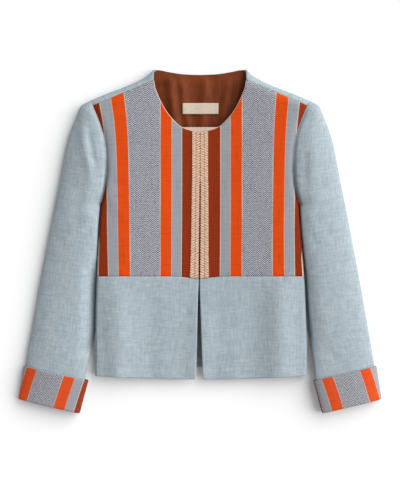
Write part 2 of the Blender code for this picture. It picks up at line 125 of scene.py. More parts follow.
# Knot value on the braid's rims, which sets their painted shade
BRAID_RIM_VALUE = 0.5
STRAND_POWER = 0.7
STRAND_FALL, STRAND_FALL_POWER = 0.6, 4
CUFF_TURN_UP = 0.0625
CUFF_INSIDE = 0.012
CUFF_FLARE = 0.0028
CUFF_FLARE_POWER = 1.5
CUFF_INNER_MOVE = {"left": 0.0, "right": -0.0036}
LABEL_SIZE = (0.0696, 0.0210)
LABEL_CENTRE = (0.0010, 0.2588)
LABEL_FOLLOW = 0.15
LABEL_CLEAR = 0.0008
UNDERLAP_HALF_WIDTH = 0.041
UNDERLAP_TOP_Y = 0.2210
UNDERLAP_BOTTOM_Y = 0.1750
LINING_HALF_WIDTH = 0.150
LINING_BOTTOM_Y = -0.050
LINING_TOP_INSET = 0.0004
LINING_CORNER = 0.0050
LINING_FOLD_LOW_Y = 0.080
LINING_FOLD_HIGH_Y = 0.190
LINING_FOLD_END = 0.026

# Soft dips and folds
BODY_ARMHOLE_DIP = 0.0026
BODY_DIP_WIDTH = 0.0075
SLEEVE_ARMHOLE_DIP = 0.0024
SLEEVE_DIP_WIDTH = 0.0050
BODY_SAG = 0.0055
BODY_SAG_WIDTH = 0.090
GROOVE_WIDTH = 0.0030
CROWN_BLEND = 0.034
SEAM_DIP = 0.0009
SEAM_DIP_WIDTH = 0.0028
SEAM_PUCKER, SEAM_PUCKER_REACH = 0.00035, 0.010
HEM_PUCKER, HEM_PUCKER_REACH = 0.0006, 0.030
HEAD_PUCKER, HEAD_PUCKER_REACH = 0.0006, 0.016
HEM_PRESS, HEM_PRESS_WIDTH = 0.0004, 0.0030

# Uneven small waves along a seam, a hem and a sleeve's head: length, share, shift
SEAM_WAVES = ((0.0135, 0.45, 0.3), (0.0213, 0.35, 1.9), (0.0371, 0.20, 4.1))
HEM_WAVES = ((0.055, 0.5, 0.8), (0.083, 0.3, 2.7), (0.031, 0.2, 5.0))
HEAD_WAVES = ((0.0160, 0.5, 1.1), (0.0235, 0.3, 3.3), (0.0330, 0.2, 0.4))

# Sides of the garment: name of the wearer's side and the sign of x there
SIDES = (("left", 1), ("right", -1))

# The two sides lie a little differently: y, how far the lower body's edge is moved out there
BODY_MOVE = {
    "left": ((-0.275, 0.0034), (-0.090, 0.0034), (-0.040, 0.0022), (0.020, 0.0004), (0.0705, 0.0)),
    "right": (
        (-0.275, -0.0010),
        (-0.190, -0.0008),
        (-0.110, 0.0008),
        (-0.030, 0.0012),
        (0.030, 0.0012),
        (0.0705, 0.0),
    ),
}
BODY_MOVE_FROM_X = 0.100

# The front edges meet a little off the middle: y, move, and how far to each side it fades
CENTRE_MOVE = (
    (-0.275, -0.0012),
    (-0.190, -0.0016),
    (-0.110, -0.0020),
    (-0.060, -0.0014),
    (0.000, -0.0007),
    (0.090, 0.0),
)
CENTRE_MOVE_WIDTH = 0.060

# The sleeves lean on the body as far down as this, and come away from it below
TOUCH_GAP = 0.0006
TOUCH_UNTIL_Y = {"left": -0.110, "right": -0.150}
APART_FROM_Y = {"left": -0.240, "right": -0.268}

# Body sections: y, half the width at the side seam, height of the front's outer face
BODY = (
    (-0.275, 0.2050, 0.0270),
    (-0.173, 0.2036, 0.0285),
    (-0.070, 0.1995, 0.0305),
    (0.002, 0.1965, 0.0315),
    (0.0705, 0.1932, 0.0320),
    (0.170, 0.1932, 0.0320),
    (0.260, 0.1932, 0.0310),
    (0.340, 0.1932, 0.0290),
)
HALF_WIDTH, LOFT = 1, 2

# Sleeve sections from the shoulder tip to the cuff edge: inner x, y, outer x, y, height of the upper side,
# height of the lower side. The inner end follows the armhole to the armpit, then the sleeve's inner edge
SLEEVE = (
    (0.2087, 0.2635, 0.2145, 0.2733, 0.0310, 0.0),
    (0.2015, 0.2470, 0.2321, 0.2635, 0.0335, 0.0),
    (0.1917, 0.2216, 0.2428, 0.2382, 0.0355, 0.0),
    (0.1856, 0.1992, 0.2525, 0.2148, 0.0370, 0.0),
    (0.1821, 0.1719, 0.2612, 0.1830, 0.0375, 0.0),
    (0.1816, 0.1450, 0.2670, 0.1540, 0.0375, 0.0),
    (0.1835, 0.1150, 0.2724, 0.1245, 0.0375, 0.0),
    (0.1880, 0.0900, 0.2770, 0.1010, 0.0370, 0.0),
    (0.1936, 0.0705, 0.2812, 0.0805, 0.0365, 0.0),
    (0.1972, 0.0300, 0.2890, 0.0410, 0.0360, 0.0),
    (0.2003, -0.0150, 0.2972, -0.0020, 0.0355, 0.0),
    (0.2041, -0.0650, 0.3063, -0.0490, 0.0345, 0.0),
    (0.2083, -0.1148, 0.3150, -0.0960, 0.0335, 0.0),
    (0.2140, -0.1733, 0.3245, -0.1510, 0.0325, 0.0),
    (0.2203, -0.2318, 0.3343, -0.2065, 0.0315, 0.0009),
    (0.2236, -0.2690, 0.3400, -0.2430, 0.0305, 0.0021),
    (0.2387, -0.3314, 0.3519, -0.3047, 0.0285, 0.0021),
)
INNER, OUTER, CROWN, LIFT = slice(0, 2), slice(2, 4), 4, 5
ARMPIT_ROW = 8
EDGE_OVERRUN = 0.030

# Depth of the narrow groove along the armhole seam: y, depth
ARMHOLE_GROOVE = (
    (0.0705, 0.0100),
    (0.1000, 0.0095),
    (0.1350, 0.0070),
    (0.1650, 0.0036),
    (0.2100, 0.0026),
    (0.2635, 0.0012),
)

# Half the gap between the two front edges: y, half_gap
FRONT_GAP = (
    (-0.275, 0.0080),
    (-0.232, 0.0062),
    (-0.183, 0.0046),
    (-0.136, 0.0034),
    (-0.105, 0.0024),
    (-0.072, 0.0014),
    (0.010, 0.0013),
    (0.080, 0.0011),
    (0.105, 0.0009),
    (0.120, 0.0003),
    (0.225, 0.0001),
)

# Width of the braid: y, width
BRAID_WIDTH = (
    (-0.275, 0.0171),
    (-0.070, 0.0171),
    (-0.020, 0.0159),
    (0.100, 0.0153),
    (0.225, 0.0155),
)

# Front neckline and back neck edge: x, y
NECKLINE = (
    (0.0000, 0.2105),
    (0.0170, 0.2136),
    (0.0370, 0.2210),
    (0.0546, 0.2372),
    (0.0663, 0.2518),
    (0.0800, 0.2772),
    (0.0848, 0.2889),
    (0.0889, 0.2996),
    (0.0907, 0.3131),
)
BACK_NECK = (
    (0.0000, 0.3250),
    (0.0310, 0.3262),
    (0.0605, 0.3305),
    (0.0800, 0.3342),
    (0.0907, 0.3347),
)

# Long soft folds of the fronts: x, spread, height (below 0 for a trough), y at the start, y where full
BODY_FOLDS = (
    (0.152, 0.024, 0.0070, -0.035, -0.130),
    (0.102, 0.026, -0.0026, -0.035, -0.150),
    (0.006, 0.024, 0.0018, -0.060, -0.160),
    (-0.158, 0.022, 0.0056, -0.040, -0.140),
    (-0.097, 0.022, -0.0026, -0.040, -0.140),
    (-0.006, 0.026, 0.0022, -0.060, -0.180),
)

# Upright folds of the lining in the neck: x at the label's height, lean, spread, height
LINING_FOLDS = (
    (-0.0520, -0.10, 0.0100, 0.0058),
    (-0.0280, -0.16, 0.0080, 0.0040),
    (0.0070, 0.06, 0.0100, 0.0044),
    (0.0480, 0.14, 0.0085, 0.0042),
    (0.0700, 0.05, 0.0090, 0.0036),
    (-0.0395, 0.22, 0.0045, 0.0009),
    (0.0220, -0.20, 0.0050, 0.0011),
)

# Creases of one side: from x, y to x, y, sideways bow, width, height (below 0 for a trough).
# Those of the sleeves and fronts are placed apart for the wearer's left and right
SLEEVE_CREASES = {
    "right": (
        (0.234, 0.248, 0.206, 0.105, -0.003, 0.0080, 0.0030),
        (0.217, 0.228, 0.199, 0.130, -0.002, 0.0062, -0.0030),
        (0.242, 0.252, 0.252, 0.150, 0.002, 0.0085, -0.0026),
        (0.250, 0.165, 0.236, 0.020, 0.004, 0.0160, -0.0016),
        (0.205, 0.062, 0.236, 0.028, 0.003, 0.0060, 0.0010),
        (0.209, 0.036, 0.240, -0.004, 0.004, 0.0070, -0.0009),
        (0.285, 0.030, 0.252, -0.030, -0.005, 0.0100, -0.0009),
        (0.216, -0.075, 0.262, -0.108, 0.004, 0.0090, 0.0008),
        (0.226, -0.160, 0.250, -0.235, 0.004, 0.0110, -0.0010),
        (0.305, -0.140, 0.290, -0.215, -0.004, 0.0120, 0.0010),
    ),
    "left": (
        (0.226, 0.226, 0.214, 0.100, -0.003, 0.0110, 0.0012),
        (0.206, 0.190, 0.207, 0.095, 0.002, 0.0065, -0.0015),
        (0.206, 0.058, 0.238, 0.014, 0.004, 0.0070, 0.0010),
        (0.211, 0.026, 0.236, -0.022, 0.003, 0.0065, -0.0010),
        (0.292, 0.000, 0.262, -0.060, -0.005, 0.0110, -0.0008),
        (0.222, -0.110, 0.262, -0.165, 0.005, 0.0100, 0.0010),
        (0.236, -0.175, 0.262, -0.238, 0.004, 0.0110, -0.0013),
        (0.316, -0.150, 0.303, -0.225, -0.003, 0.0120, 0.0010),
    ),
}
FRONT_CREASES = {
    "right": (
        (0.186, 0.090, 0.140, 0.030, 0.004, 0.0080, 0.0007),
        (0.183, 0.118, 0.128, 0.090, 0.003, 0.0090, -0.0007),
        (0.150, -0.055, 0.135, 0.020, 0.004, 0.0140, 0.0008),
        (0.060, 0.150, 0.050, 0.020, 0.004, 0.0150, -0.0006),
        (0.186, -0.085, 0.176, -0.240, 0.003, 0.0090, 0.0008),
        (0.030, -0.090, 0.020, -0.230, 0.003, 0.0110, -0.0008),
    ),
    "left": (
        (0.186, 0.085, 0.146, 0.022, 0.004, 0.0080, 0.0008),
        (0.182, 0.125, 0.136, 0.100, 0.003, 0.0085, -0.0006),
        (0.120, -0.060, 0.128, 0.030, -0.004, 0.0150, -0.0008),
        (0.048, 0.120, 0.058, 0.000, 0.004, 0.0150, 0.0006),
        (0.190, -0.080, 0.184, -0.230, 0.003, 0.0085, -0.0009),
        (0.026, -0.085, 0.022, -0.240, 0.003, 0.0120, 0.0009),
    ),
}
CREASE_FADE = 0.35

# Creases of the hidden sides, all pushed up from the floor: the back, with signed x, and under the sleeves
BACK_CREASES = (
    (-0.168, 0.060, -0.060, -0.020, 0.010, 0.0090, 0.0014),
    (0.160, 0.085, 0.075, 0.020, -0.008, 0.0080, 0.0012),
    (-0.120, -0.090, -0.100, -0.225, 0.006, 0.0120, 0.0016),
    (-0.030, -0.070, -0.042, -0.230, 0.005, 0.0100, 0.0010),
    (0.050, -0.110, 0.062, -0.235, 0.006, 0.0110, 0.0014),
    (0.135, -0.060, 0.124, -0.210, -0.006, 0.0130, 0.0017),
    (-0.085, 0.225, -0.020, 0.150, 0.006, 0.0090, 0.0010),
    (0.092, 0.210, 0.030, 0.155, -0.005, 0.0080, 0.0011),
    (0.015, 0.110, -0.010, -0.010, 0.006, 0.0140, 0.0009),
)
UNDER_CREASES = {
    "right": (
        (0.206, 0.160, 0.246, 0.110, 0.004, 0.0070, 0.0014),
        (0.212, 0.085, 0.256, 0.050, 0.005, 0.0080, 0.0012),
        (0.222, -0.020, 0.272, -0.055, 0.005, 0.0090, 0.0015),
        (0.285, -0.060, 0.250, -0.130, 0.004, 0.0100, 0.0011),
        (0.238, -0.150, 0.284, -0.190, 0.004, 0.0080, 0.0013),
    ),
    "left": (
        (0.204, 0.170, 0.250, 0.130, 0.005, 0.0080, 0.0012),
        (0.214, 0.070, 0.250, 0.020, 0.004, 0.0075, 0.0014),
        (0.262, 0.040, 0.248, -0.060, 0.004, 0.0100, 0.0010),
        (0.226, -0.070, 0.276, -0.100, 0.005, 0.0085, 0.0015),
        (0.300, -0.130, 0.262, -0.200, 0.004, 0.0090, 0.0012),
    ),
}

# Stripes, measured from the middle of a herringbone band: outer edge of each band
HERRINGBONE_EDGE = 0.0293
ORANGE_EDGE = 0.0512
GREY_EDGE = 0.0706
BROWN_EDGE = 0.0955
CREAM_EDGE = 0.0985
STRIPE_MIDDLE = {"left": 0.1105, "right": 0.1059}
STRIPE_LEAN_SHARE = {"left": 0.65, "right": 1.0}
STRIPE_LEAN_FROM_X = 0.080
STRIPE_LEAN_FULL_X = 0.178
STRIPE_PULL_OVER = 0.0026
STRIPE_PULL_WIDTH = 0.0120
STRIPE_PULL_FROM_Y = {"left": 0.022, "right": 0.050}
STRIPE_PULL_LENGTH = 0.060
CUFF_STRIPE_MIDDLE = {"left": 0.0766, "right": 0.0869}
CUFF_HERRINGBONE_EDGE = 0.0272
CUFF_ORANGE_EDGE = 0.0493
CUFF_GREY_EDGE = 0.0673
CUFF_FADE = 0.03
TWILL = 0.70
CHEVRON_COLUMNS = 6
CHEVRON_WIDTH = 2 * HERRINGBONE_EDGE / CHEVRON_COLUMNS
CHEVRON_RISE = 0.0040
TWILL_FLECK = 0.9
TWILL_SHIFT = 0.05 - TWILL / 2
TWILL_TONES = (0.25, 0.75)
TWILL_RELIEF = 0.8
STRIPE_WOBBLE = 0.0008

# Pale threads between stripes, and a dashed one along the herringbone band
THREAD_REACH = 0.0007
ORANGE_THREAD, GREY_THREAD = 0.45, 0.75
DASH_INSET, DASH_PITCH = 0.0006, 0.0039

# How far the outer stripes lean out towards the shoulder: y, lean
STRIPE_LEAN = (
    (-0.070, 0.0000),
    (0.020, 0.0018),
    (0.080, 0.0034),
    (0.168, 0.0060),
    (0.226, 0.0101),
    (0.256, 0.0140),
    (0.300, 0.0200),
)

# Colours, linear
LINEN_PALE = (0.450, 0.510, 0.548)
LINEN_MIDDLE = (0.332, 0.388, 0.424)
LINEN_DEEP = (0.222, 0.280, 0.318)
ORANGE = (0.640, 0.062, 0.004)
BROWN = (0.242, 0.026, 0.004)
GREY = (0.278, 0.297, 0.327)
HERRING_PALE = (0.455, 0.455, 0.480)
HERRING_DEEP = (0.085, 0.092, 0.130)
CREAM = (0.610, 0.500, 0.390)
BRAID_PALE = (0.710, 0.500, 0.375)
BRAID_PEACH = (0.500, 0.300, 0.200)
# Painted shade for the hollows of the braid
BRAID_HOLLOW_SHADE = (0.180, 0.085, 0.045)
SATIN = (0.190, 0.043, 0.013)
SATIN_DEEP = (0.115, 0.026, 0.008)
LABEL = (0.660, 0.555, 0.440)
FLOOR = (0.900, 0.900, 0.900)

# Colours from deep to pale, with their places between 0 and 1
LINEN_TONES = ((0.27, LINEN_DEEP), (0.50, LINEN_MIDDLE), (0.73, LINEN_PALE))
BRAID_TONES = ((0.20, BRAID_HOLLOW_SHADE), (0.42, BRAID_PEACH), (0.80, BRAID_PALE))
SATIN_TONES = ((0.36, SATIN_DEEP), (0.62, SATIN))
COTTON_TONES, COTTON_DEEP = (0.35, 0.65), 0.78
BLACK, WHITE = (0.0, 0.0, 0.0), (1.0, 1.0, 1.0)

# Grains: size across and along, detail, shift of the pattern, share
LINEN_GRAINS = (
    (0.0032, 0.0240, 2.0, 0.0, 0.36),
    (0.0180, 0.0032, 2.0, 7.3, 0.32),
    (0.0110, 0.0150, 2.0, 5.7, 0.14),
    (0.0022, 0.0026, 2.0, 3.1, 0.18),
)
STRIPE_GRAINS = ((0.0036, 0.0450, 3.0, 1.0, 0.60), (0.0300, 0.0032, 2.0, 4.0, 0.60))
STRIPE_BASE = 0.40
COTTON_GRAINS = ((0.0009, 0.0120, 2.0, 0.0, 0.50), (0.0120, 0.0009, 2.0, 4.0, 0.50))
SATIN_GRAINS = ((0.0010, 0.0400, 2.0, 0.0, 0.50), (0.0200, 0.0300, 2.0, 2.0, 0.50))

# Single grains: size across and along, detail, shift
WOBBLE_GRAIN = (0.0040, 0.0015, 1.0, 2.0)
TWILL_GRAIN = (0.0036, 0.0030, 2.0, 5.0)
BRAID_GRAIN, BRAID_FUZZ = (0.0030, 0.0036, 3.0, 0.0), (0.0007, 0.0016, 2.0, 3.0)
SATIN_FUZZ = (0.0006, 0.0060, 1.0, 0.0)
BRAID_FLECK, KNOT_SHARE, KNOT_SHIFT = 0.6, 0.95, -0.26

# Threads: pitch of the weave, depth of the relief and how strongly slubs stand out
LINEN_THREAD, STRIPE_THREAD, COTTON_THREAD = 0.0011, 0.0012, 0.0008
LINEN_DEPTH, STRIPE_DEPTH, BRAID_DEPTH = 0.00022, 0.00020, 0.00025
COTTON_DEPTH, SATIN_DEPTH = 0.00012, 0.00008
LINEN_SLUB = 1.6

# Gloss
ROUGH, SATIN_ROUGH = 0.90, 0.50
GLOSS, SATIN_GLOSS = 0.12, 0.08
LINEN_SHEEN, TRIM_SHEEN, SHEEN_ROUGH = 0.06, 0.05, 0.45

# Camera and light
CAMERA_HEIGHT = 3.0
PIXEL = 0.00195
IMAGE_SIZE = (400, 500)
VIEW_CENTRE = (0.0, -0.0173)
EDGE_PLANE = 0.012
SENSOR = 36.0
KEY_FROM = (0.94, 0.43, 0.66)
KEY_SPREAD = np.radians(80.0)
KEY_STRENGTH = 4.25
SKY = 0.44
FLOOR_HALF_SIZE = 30.0
FLOOR_Z = -0.0004
VIEW_END = 100.0

# Resolution
PATH_STEPS = 160
HALVINGS = 50
WELD = 0.00001
TINY = 1e-12
FRONT_BRAID_COLUMNS = 8
FRONT_NECK_COLUMNS = 34
FRONT_SHOULDER_COLUMNS = 50
FRONT_LOWER_ROWS = 56
FRONT_UPPER_ROWS = 84
PEPLUM_ROWS = 76
HEM_ROWS = 10
BACK_NECK_COLUMNS = 30
BACK_SHOULDER_COLUMNS = 40
BACK_LOWER_ROWS = 70
BACK_UPPER_ROWS = 44
BACK_FOLD_ROWS = 14
SLEEVE_HEAD_ROWS = 70
SLEEVE_ARM_ROWS = 110
SLEEVE_TOP_COLUMNS = 56
SLEEVE_UNDER_COLUMNS = 34
CUFF_ROWS = 26
CUFF_FOLD_STEPS = 8
LINING_COLUMNS = 150
LINING_ROWS = 70
BRAID_FINE_COLUMNS = 28
BRAID_FINE_ROWS = 420
HIGHLIGHT_CORD_SIDES = 12
PINCH_DIGITS = 9
LABEL_COLUMNS, LABEL_ROWS = 40, 12
UNDERLAP_COLUMNS, UNDERLAP_ROWS = 60, 30


# Lines and curves
def follow(table, column, at):
    """One column of a table, read smoothly at the given places along its first column."""
    rows = np.array(sorted(table, key=lambda row: row[0]))
    place, value = rows[:, 0], rows[:, column]
    step = np.diff(place)
    slope = np.diff(value) / step
    rising = slope[:-1] * slope[1:] > 0
    total = np.where(rising, slope[:-1] + slope[1:], 1.0)
    inner = np.where(rising, 2 * slope[:-1] * slope[1:] / total, 0.0)
    tangent = np.concatenate([slope[:1], inner, slope[-1:]])
    at = np.asarray(at, float)
    low = np.clip(np.searchsorted(place, at) - 1, 0, len(step) - 1)
    t = np.clip((at - place[low]) / step[low], 0.0, 1.0)
    start = value[low] + t * t * (3 - 2 * t) * (value[low + 1] - value[low])
    bend = tangent[low] * t * (1 - t) ** 2 - tangent[low + 1] * t * t * (1 - t)
    return start + bend * step[low]


def unit(vectors):
    """The same directions with length 1."""
    return vectors / np.maximum(np.linalg.norm(vectors, axis=-1), TINY)[..., None]


def lengths(points):
    """Length along a row of points, from its first."""
    return np.concatenate([[0.0], np.cumsum(np.linalg.norm(np.diff(points, axis=0), axis=1))])


def path(points, steps):
    """A smooth line through given points, as an array of evenly spaced places."""
    points = np.array(points, float)
    run = lengths(points)
    at = np.linspace(0.0, run[-1], steps)
    table = np.column_stack([run, points])
    return np.column_stack([follow(table, 1 + axis, at) for axis in range(points.shape[1])])


def overrun(line, length):
    """The line with one more point past its end, in the direction that it has there."""
    return np.vstack([line, line[-1] + unit(line[-1] - line[-3]) * length])


def distance(line, x, y):
    """How far each place lies from a line, seen from above."""
    start, end = line[:-1], line[1:]
    run = end - start
    place = np.stack([np.asarray(x, float), np.asarray(y, float)], axis=-1)[..., None, :]
    share = ((place - start) * run).sum(-1) / (run * run).sum(-1)
    nearest = start + np.clip(share, 0.0, 1.0)[..., None] * run
    away = np.linalg.norm(place - nearest, axis=-1).min(-1)
    return np.maximum(away - ON_LINE, 0.0)


def rounded(share):
    """A quarter circle: 0 at the edge, level from 1 on."""
    share = np.clip(share, 0.0, 1.0)
    return np.sqrt(1 - (1 - share) ** 2)


def smooth(share):
    """A soft step from 0 to 1."""
    share = np.clip(share, 0.0, 1.0)
    return share * share * (3 - 2 * share)


def bell(offset, width):
    return np.exp(-((offset / width) ** 2))


SLEEVE_ROWS = np.array(SLEEVE)
ARMHOLE_TABLE = [(row[1], row[0]) for row in SLEEVE[: ARMPIT_ROW + 1]]
ARMHOLE = path(SLEEVE_ROWS[: ARMPIT_ROW + 1, INNER], PATH_STEPS)
SLEEVE_EDGE = overrun(path(SLEEVE_ROWS[ARMPIT_ROW:, INNER], PATH_STEPS), EDGE_OVERRUN)
OUTER_POINTS = [NECK_CORNER, FOLD_BEND] + [tuple(row[OUTER]) for row in SLEEVE_ROWS]
OUTER_EDGE = overrun(path(OUTER_POINTS, PATH_STEPS), EDGE_OVERRUN)
SIDE_Y = np.linspace(BODY[0][0], ARMPIT_Y, PATH_STEPS)
BODY_SIDE = np.column_stack([follow(BODY, HALF_WIDTH, SIDE_Y) - SEAM_GAP, SIDE_Y])
SEAM_SLOPE = (SEAM_AT_TIP[1] - SEAM_AT_NECK[1]) / (SEAM_AT_TIP[0] - SEAM_AT_NECK[0])


# Heights of the cloth
def reach(y):
    """How far the upper side takes to level off behind the outer edge."""
    share = (SHOULDER_REACH_FROM_Y - y) / (SHOULDER_REACH_FROM_Y - SLEEVE_REACH_FROM_Y)
    return SHOULDER_REACH + (SLEEVE_REACH - SHOULDER_REACH) * smooth(share)


def sleeve_edge_drop(y):
    """How much lower the sleeve's inner edge is where it lies beside the body; below 0 near the cuff."""
    beside = SLEEVE_EDGE_DROP * smooth((ARMPIT_Y - y) / SLEEVE_EDGE_FADE)
    clear = smooth((SLEEVE_RAISE_FROM_Y - y) / SLEEVE_RAISE_LENGTH)
    return beside - (SLEEVE_EDGE_DROP + SLEEVE_EDGE_RAISE) * clear


def body_edge_raise(y):
    """How much higher the body's side edge is, up to the armpit."""
    return BODY_EDGE_RAISE * smooth((ARMPIT_Y - y) / SLEEVE_EDGE_FADE)


def crease_floor(y, side_name):
    """Width of the flat strip at the bottom of the crease between sleeve and body."""
    start = smooth((CREASE_FLOOR_FROM_Y - y) / CREASE_FLOOR_LENGTH)
    return CREASE_FLOOR[side_name] * start * smooth((y - CREASE_FLOOR_END_Y) / CREASE_FLOOR_END_LENGTH)


def tucked(away, side_reach, roll, roll_reach):
    """Rise from a side edge, 0 to 1: a tight roll at the very edge, then a long soft curve."""
    return roll * rounded(away / roll_reach) + (1 - roll) * rounded(away / side_reach)


def low_edge(away, y, side_name):
    """Rise of the sleeve's inner edge: rolled close at the armpit, low and slow beside the lower body."""
    away = np.maximum(away - crease_floor(y, side_name), 0.0)
    share = LOW_EDGE_SHARE[side_name] * smooth((LOW_EDGE_FROM_Y - y) / LOW_EDGE_LENGTH)
    share = share * smooth((y - LOW_EDGE_END_Y) / LOW_EDGE_END_LENGTH)
    close = tucked(away, SLEEVE_SIDE_REACH, SLEEVE_ROLL, SLEEVE_ROLL_REACH)
    slow = np.sin(np.pi / 2 * np.clip(away / LOW_EDGE_REACH, 0.0, 1.0))
    return close + share * (slow - close)


def armhole_dip(x, y, depth, width):
    """The soft dip beside the armhole seam and the narrow groove in it."""
    away = distance(ARMHOLE, x, y)
    return depth * bell(away, width) + follow(ARMHOLE_GROOVE, 1, y) * bell(away, GROOVE_WIDTH)


def upper_side(outer, side, loft, lift=0.0, drop=0.0):
    """Height of the upper side from its rise at the outer edge and at the side, which may lie lower."""
    base = EDGE_HEIGHT + lift - drop * (1 - side)
    return base + (loft - base) * outer * side


def under_side(outer, side, lift=0.0, drop=0.0):
    from_outer = EDGE_HEIGHT * (1 - rounded(outer / UNDER_REACH))
    from_side = (EDGE_HEIGHT - drop) * (1 - rounded(side / UNDER_REACH))
    return lift + np.maximum(from_outer, from_side)


def creases(table, x, y):
    """Listed soft ridges and troughs, each fading out at both ends."""
    total = np.zeros_like(x)
    for from_x, from_y, to_x, to_y, bow, width, height in table:
        run = np.array([to_x - from_x, to_y - from_y])
        length = np.linalg.norm(run)
        along = ((x - from_x) * run[0] + (y - from_y) * run[1]) / length**2
        aside = ((x - from_x) * run[1] - (y - from_y) * run[0]) / length
        fade = smooth(along / CREASE_FADE) * smooth((1 - along) / CREASE_FADE)
        total = total + height * fade * bell(aside - 4 * bow * along * (1 - along), width)
    return total


def ripple(x, waves):
    """Uneven small waves along a seam, between -1 and 1."""
    return sum(share * np.sin(2 * np.pi * x / length + shift) for length, share, shift in waves)


def body_edge(y):
    """Where the body ends at each height: side seam, then armhole, then the shoulder's own end."""
    armhole = ARMHOLE_TABLE + [(SHOULDER_TIP[1], SHOULDER_TIP[0])]
    side = follow(BODY, HALF_WIDTH, y)
    return np.where(y > ARMPIT_Y, follow(armhole, 1, y), side) - SEAM_GAP


def waist_y(x):
    return WAIST_SIDE_Y - WAIST_DIP * bell(x, WAIST_DIP_WIDTH)


def front_hem_y(x):
    share = (x / body_edge(np.float64(WAIST_SIDE_Y))) ** 2
    return FRONT_HEM_CENTRE_Y + (FRONT_HEM_SIDE_Y - FRONT_HEM_CENTRE_Y) * share


def shoulder_seam_y(x):
    return SEAM_AT_NECK[1] + (x - SEAM_AT_NECK[0]) * SEAM_SLOPE


def shoulder_fold_y(x):
    return np.interp(x, OUTER_EDGE[:, 0], OUTER_EDGE[:, 1])


def front_relief(side_name, x, y):
    """What seams, hem and creases add to a front. x is counted from the middle."""
    waist, shoulder, hem = y - waist_y(x), y - shoulder_seam_y(x), y - front_hem_y(x)
    seams = -SEAM_DIP * (bell(waist, SEAM_DIP_WIDTH) + bell(shoulder, SEAM_DIP_WIDTH))
    pucker = SEAM_PUCKER * ripple(x, SEAM_WAVES) * bell(waist, SEAM_PUCKER_REACH)
    sag = HEM_PUCKER * ripple(x, HEM_WAVES) * bell(hem, HEM_PUCKER_REACH)
    press = -HEM_PRESS * bell(hem - HEM_TURN_UP, HEM_PRESS_WIDTH)
    return seams + pucker + sag + press + creases(FRONT_CREASES[side_name], x, y)


def front_height(x, y):
    """Outer face of the fronts, with their long folds."""
    loft = follow(BODY, LOFT, y) - BODY_SAG * bell(x, BODY_SAG_WIDTH)
    for centre, spread, height, start, full in BODY_FOLDS:
        loft = loft + height * bell(x - centre, spread) * smooth((start - y) / (start - full))
    across = np.abs(x)
    relief = np.where(x > 0, front_relief("left", across, y), front_relief("right", across, y))
    side = tucked(distance(BODY_SIDE, across, y), SIDE_REACH, BODY_ROLL, BODY_ROLL_REACH)
    outer = rounded(distance(OUTER_EDGE, across, y) / reach(y))
    dip = armhole_dip(across, y, BODY_ARMHOLE_DIP, BODY_DIP_WIDTH)
    return upper_side(outer, side, loft + relief - dip, SIDE_SEAM, -body_edge_raise(y))


def back_height(x, y):
    across = np.abs(x)
    to_outer, to_side = distance(OUTER_EDGE, across, y), distance(BODY_SIDE, across, y)
    flat = under_side(to_outer, to_side, drop=-body_edge_raise(y))
    return flat + creases(BACK_CREASES, x, y)


def above_front(x, y):
    return front_height(x, y) + SEAM_GAP + BRAID_CLOTH


def behind_front(x, y):
    return front_height(x, y) - CLOTH - SEAM_GAP


def above_back(thickness, x, y):
    """Upper face of a layer that lies on the inside of the back."""
    return back_height(x, y) + CLOTH + SEAM_GAP + thickness


# Panels, as grids of places seen from above
def meet(line_x, top_y):
    """The height at which a panel's upright line reaches the edge above it."""
    low, high = ARMPIT_Y, NECK_CORNER[1] + EDGE_OVERRUN
    for _ in range(HALVINGS):
        middle = (low + high) / 2
        if middle < top_y(line_x(middle)):
            low = middle
        else:
            high = middle
    return (low + high) / 2


def fine_towards_end(steps):
    """Shares from 0 to 1 that crowd together at 1."""
    return np.sin(np.linspace(0.0, np.pi / 2, steps + 1))


def fine_at_both_ends(steps):
    return (1 - np.cos(np.linspace(0.0, np.pi, steps + 1))) / 2


def braid_line(share, y):
    return follow(FRONT_GAP, 1, y) + share * follow(BRAID_WIDTH, 1, y)


def inside_line(share, y):
    start = braid_line(1.0, y)
    return start + share * (body_edge(y) - start)


def back_line(share, y):
    return share * body_edge(y)


def front_lines():
    """The upright lines of a front: across the braid, on as far as the neck corner, then to the side."""
    start = float(braid_line(1.0, SEAM_AT_NECK[1]))
    corner = (SEAM_AT_NECK[0] - start) / (SHOULDER_TIP[0] - start)
    neck = corner * np.linspace(0.0, 1.0, FRONT_NECK_COLUMNS + 1)
    shoulder = corner + (1 - corner) * fine_towards_end(FRONT_SHOULDER_COLUMNS)
    braid = np.linspace(0.0, 1.0, FRONT_BRAID_COLUMNS + 1)[:-1]
    lines = [partial(braid_line, share) for share in braid]
    return lines + [partial(inside_line, share) for share in (*neck, *shoulder[1:])]


def front_top_y(x):
    neckline = follow(NECKLINE, 1, x)
    return np.where(x < SEAM_AT_NECK[0], neckline, shoulder_seam_y(x) - SHOULDER_GAP)


def upright(line, y):
    return np.column_stack([line(y), y])


def front_grid(lines):
    """Places of a striped front, row by row from the waist seam up, for the wearer's left."""
    columns = []
    for index, line in enumerate(lines):
        low = float(waist_y(line(WAIST_SIDE_Y))) + SEAM_GAP / 2
        top = SEAM_AT_TIP[1] - SHOULDER_GAP if index == len(lines) - 1 else meet(line, front_top_y)
        lower = np.linspace(low, ARMPIT_Y, FRONT_LOWER_ROWS + 1)
        upper = np.linspace(ARMPIT_Y, top, FRONT_UPPER_ROWS + 1)[1:]
        columns.append(upright(line, np.concatenate([lower, upper])))
    return np.stack(columns, axis=1)


def peplum_grid(lines):
    columns = []
    for line in lines:
        x = float(line(WAIST_SIDE_Y))
        top = float(waist_y(x)) - SEAM_GAP / 2
        columns.append(upright(line, np.linspace(float(front_hem_y(x)), top, PEPLUM_ROWS + 1)))
    return np.stack(columns, axis=1)


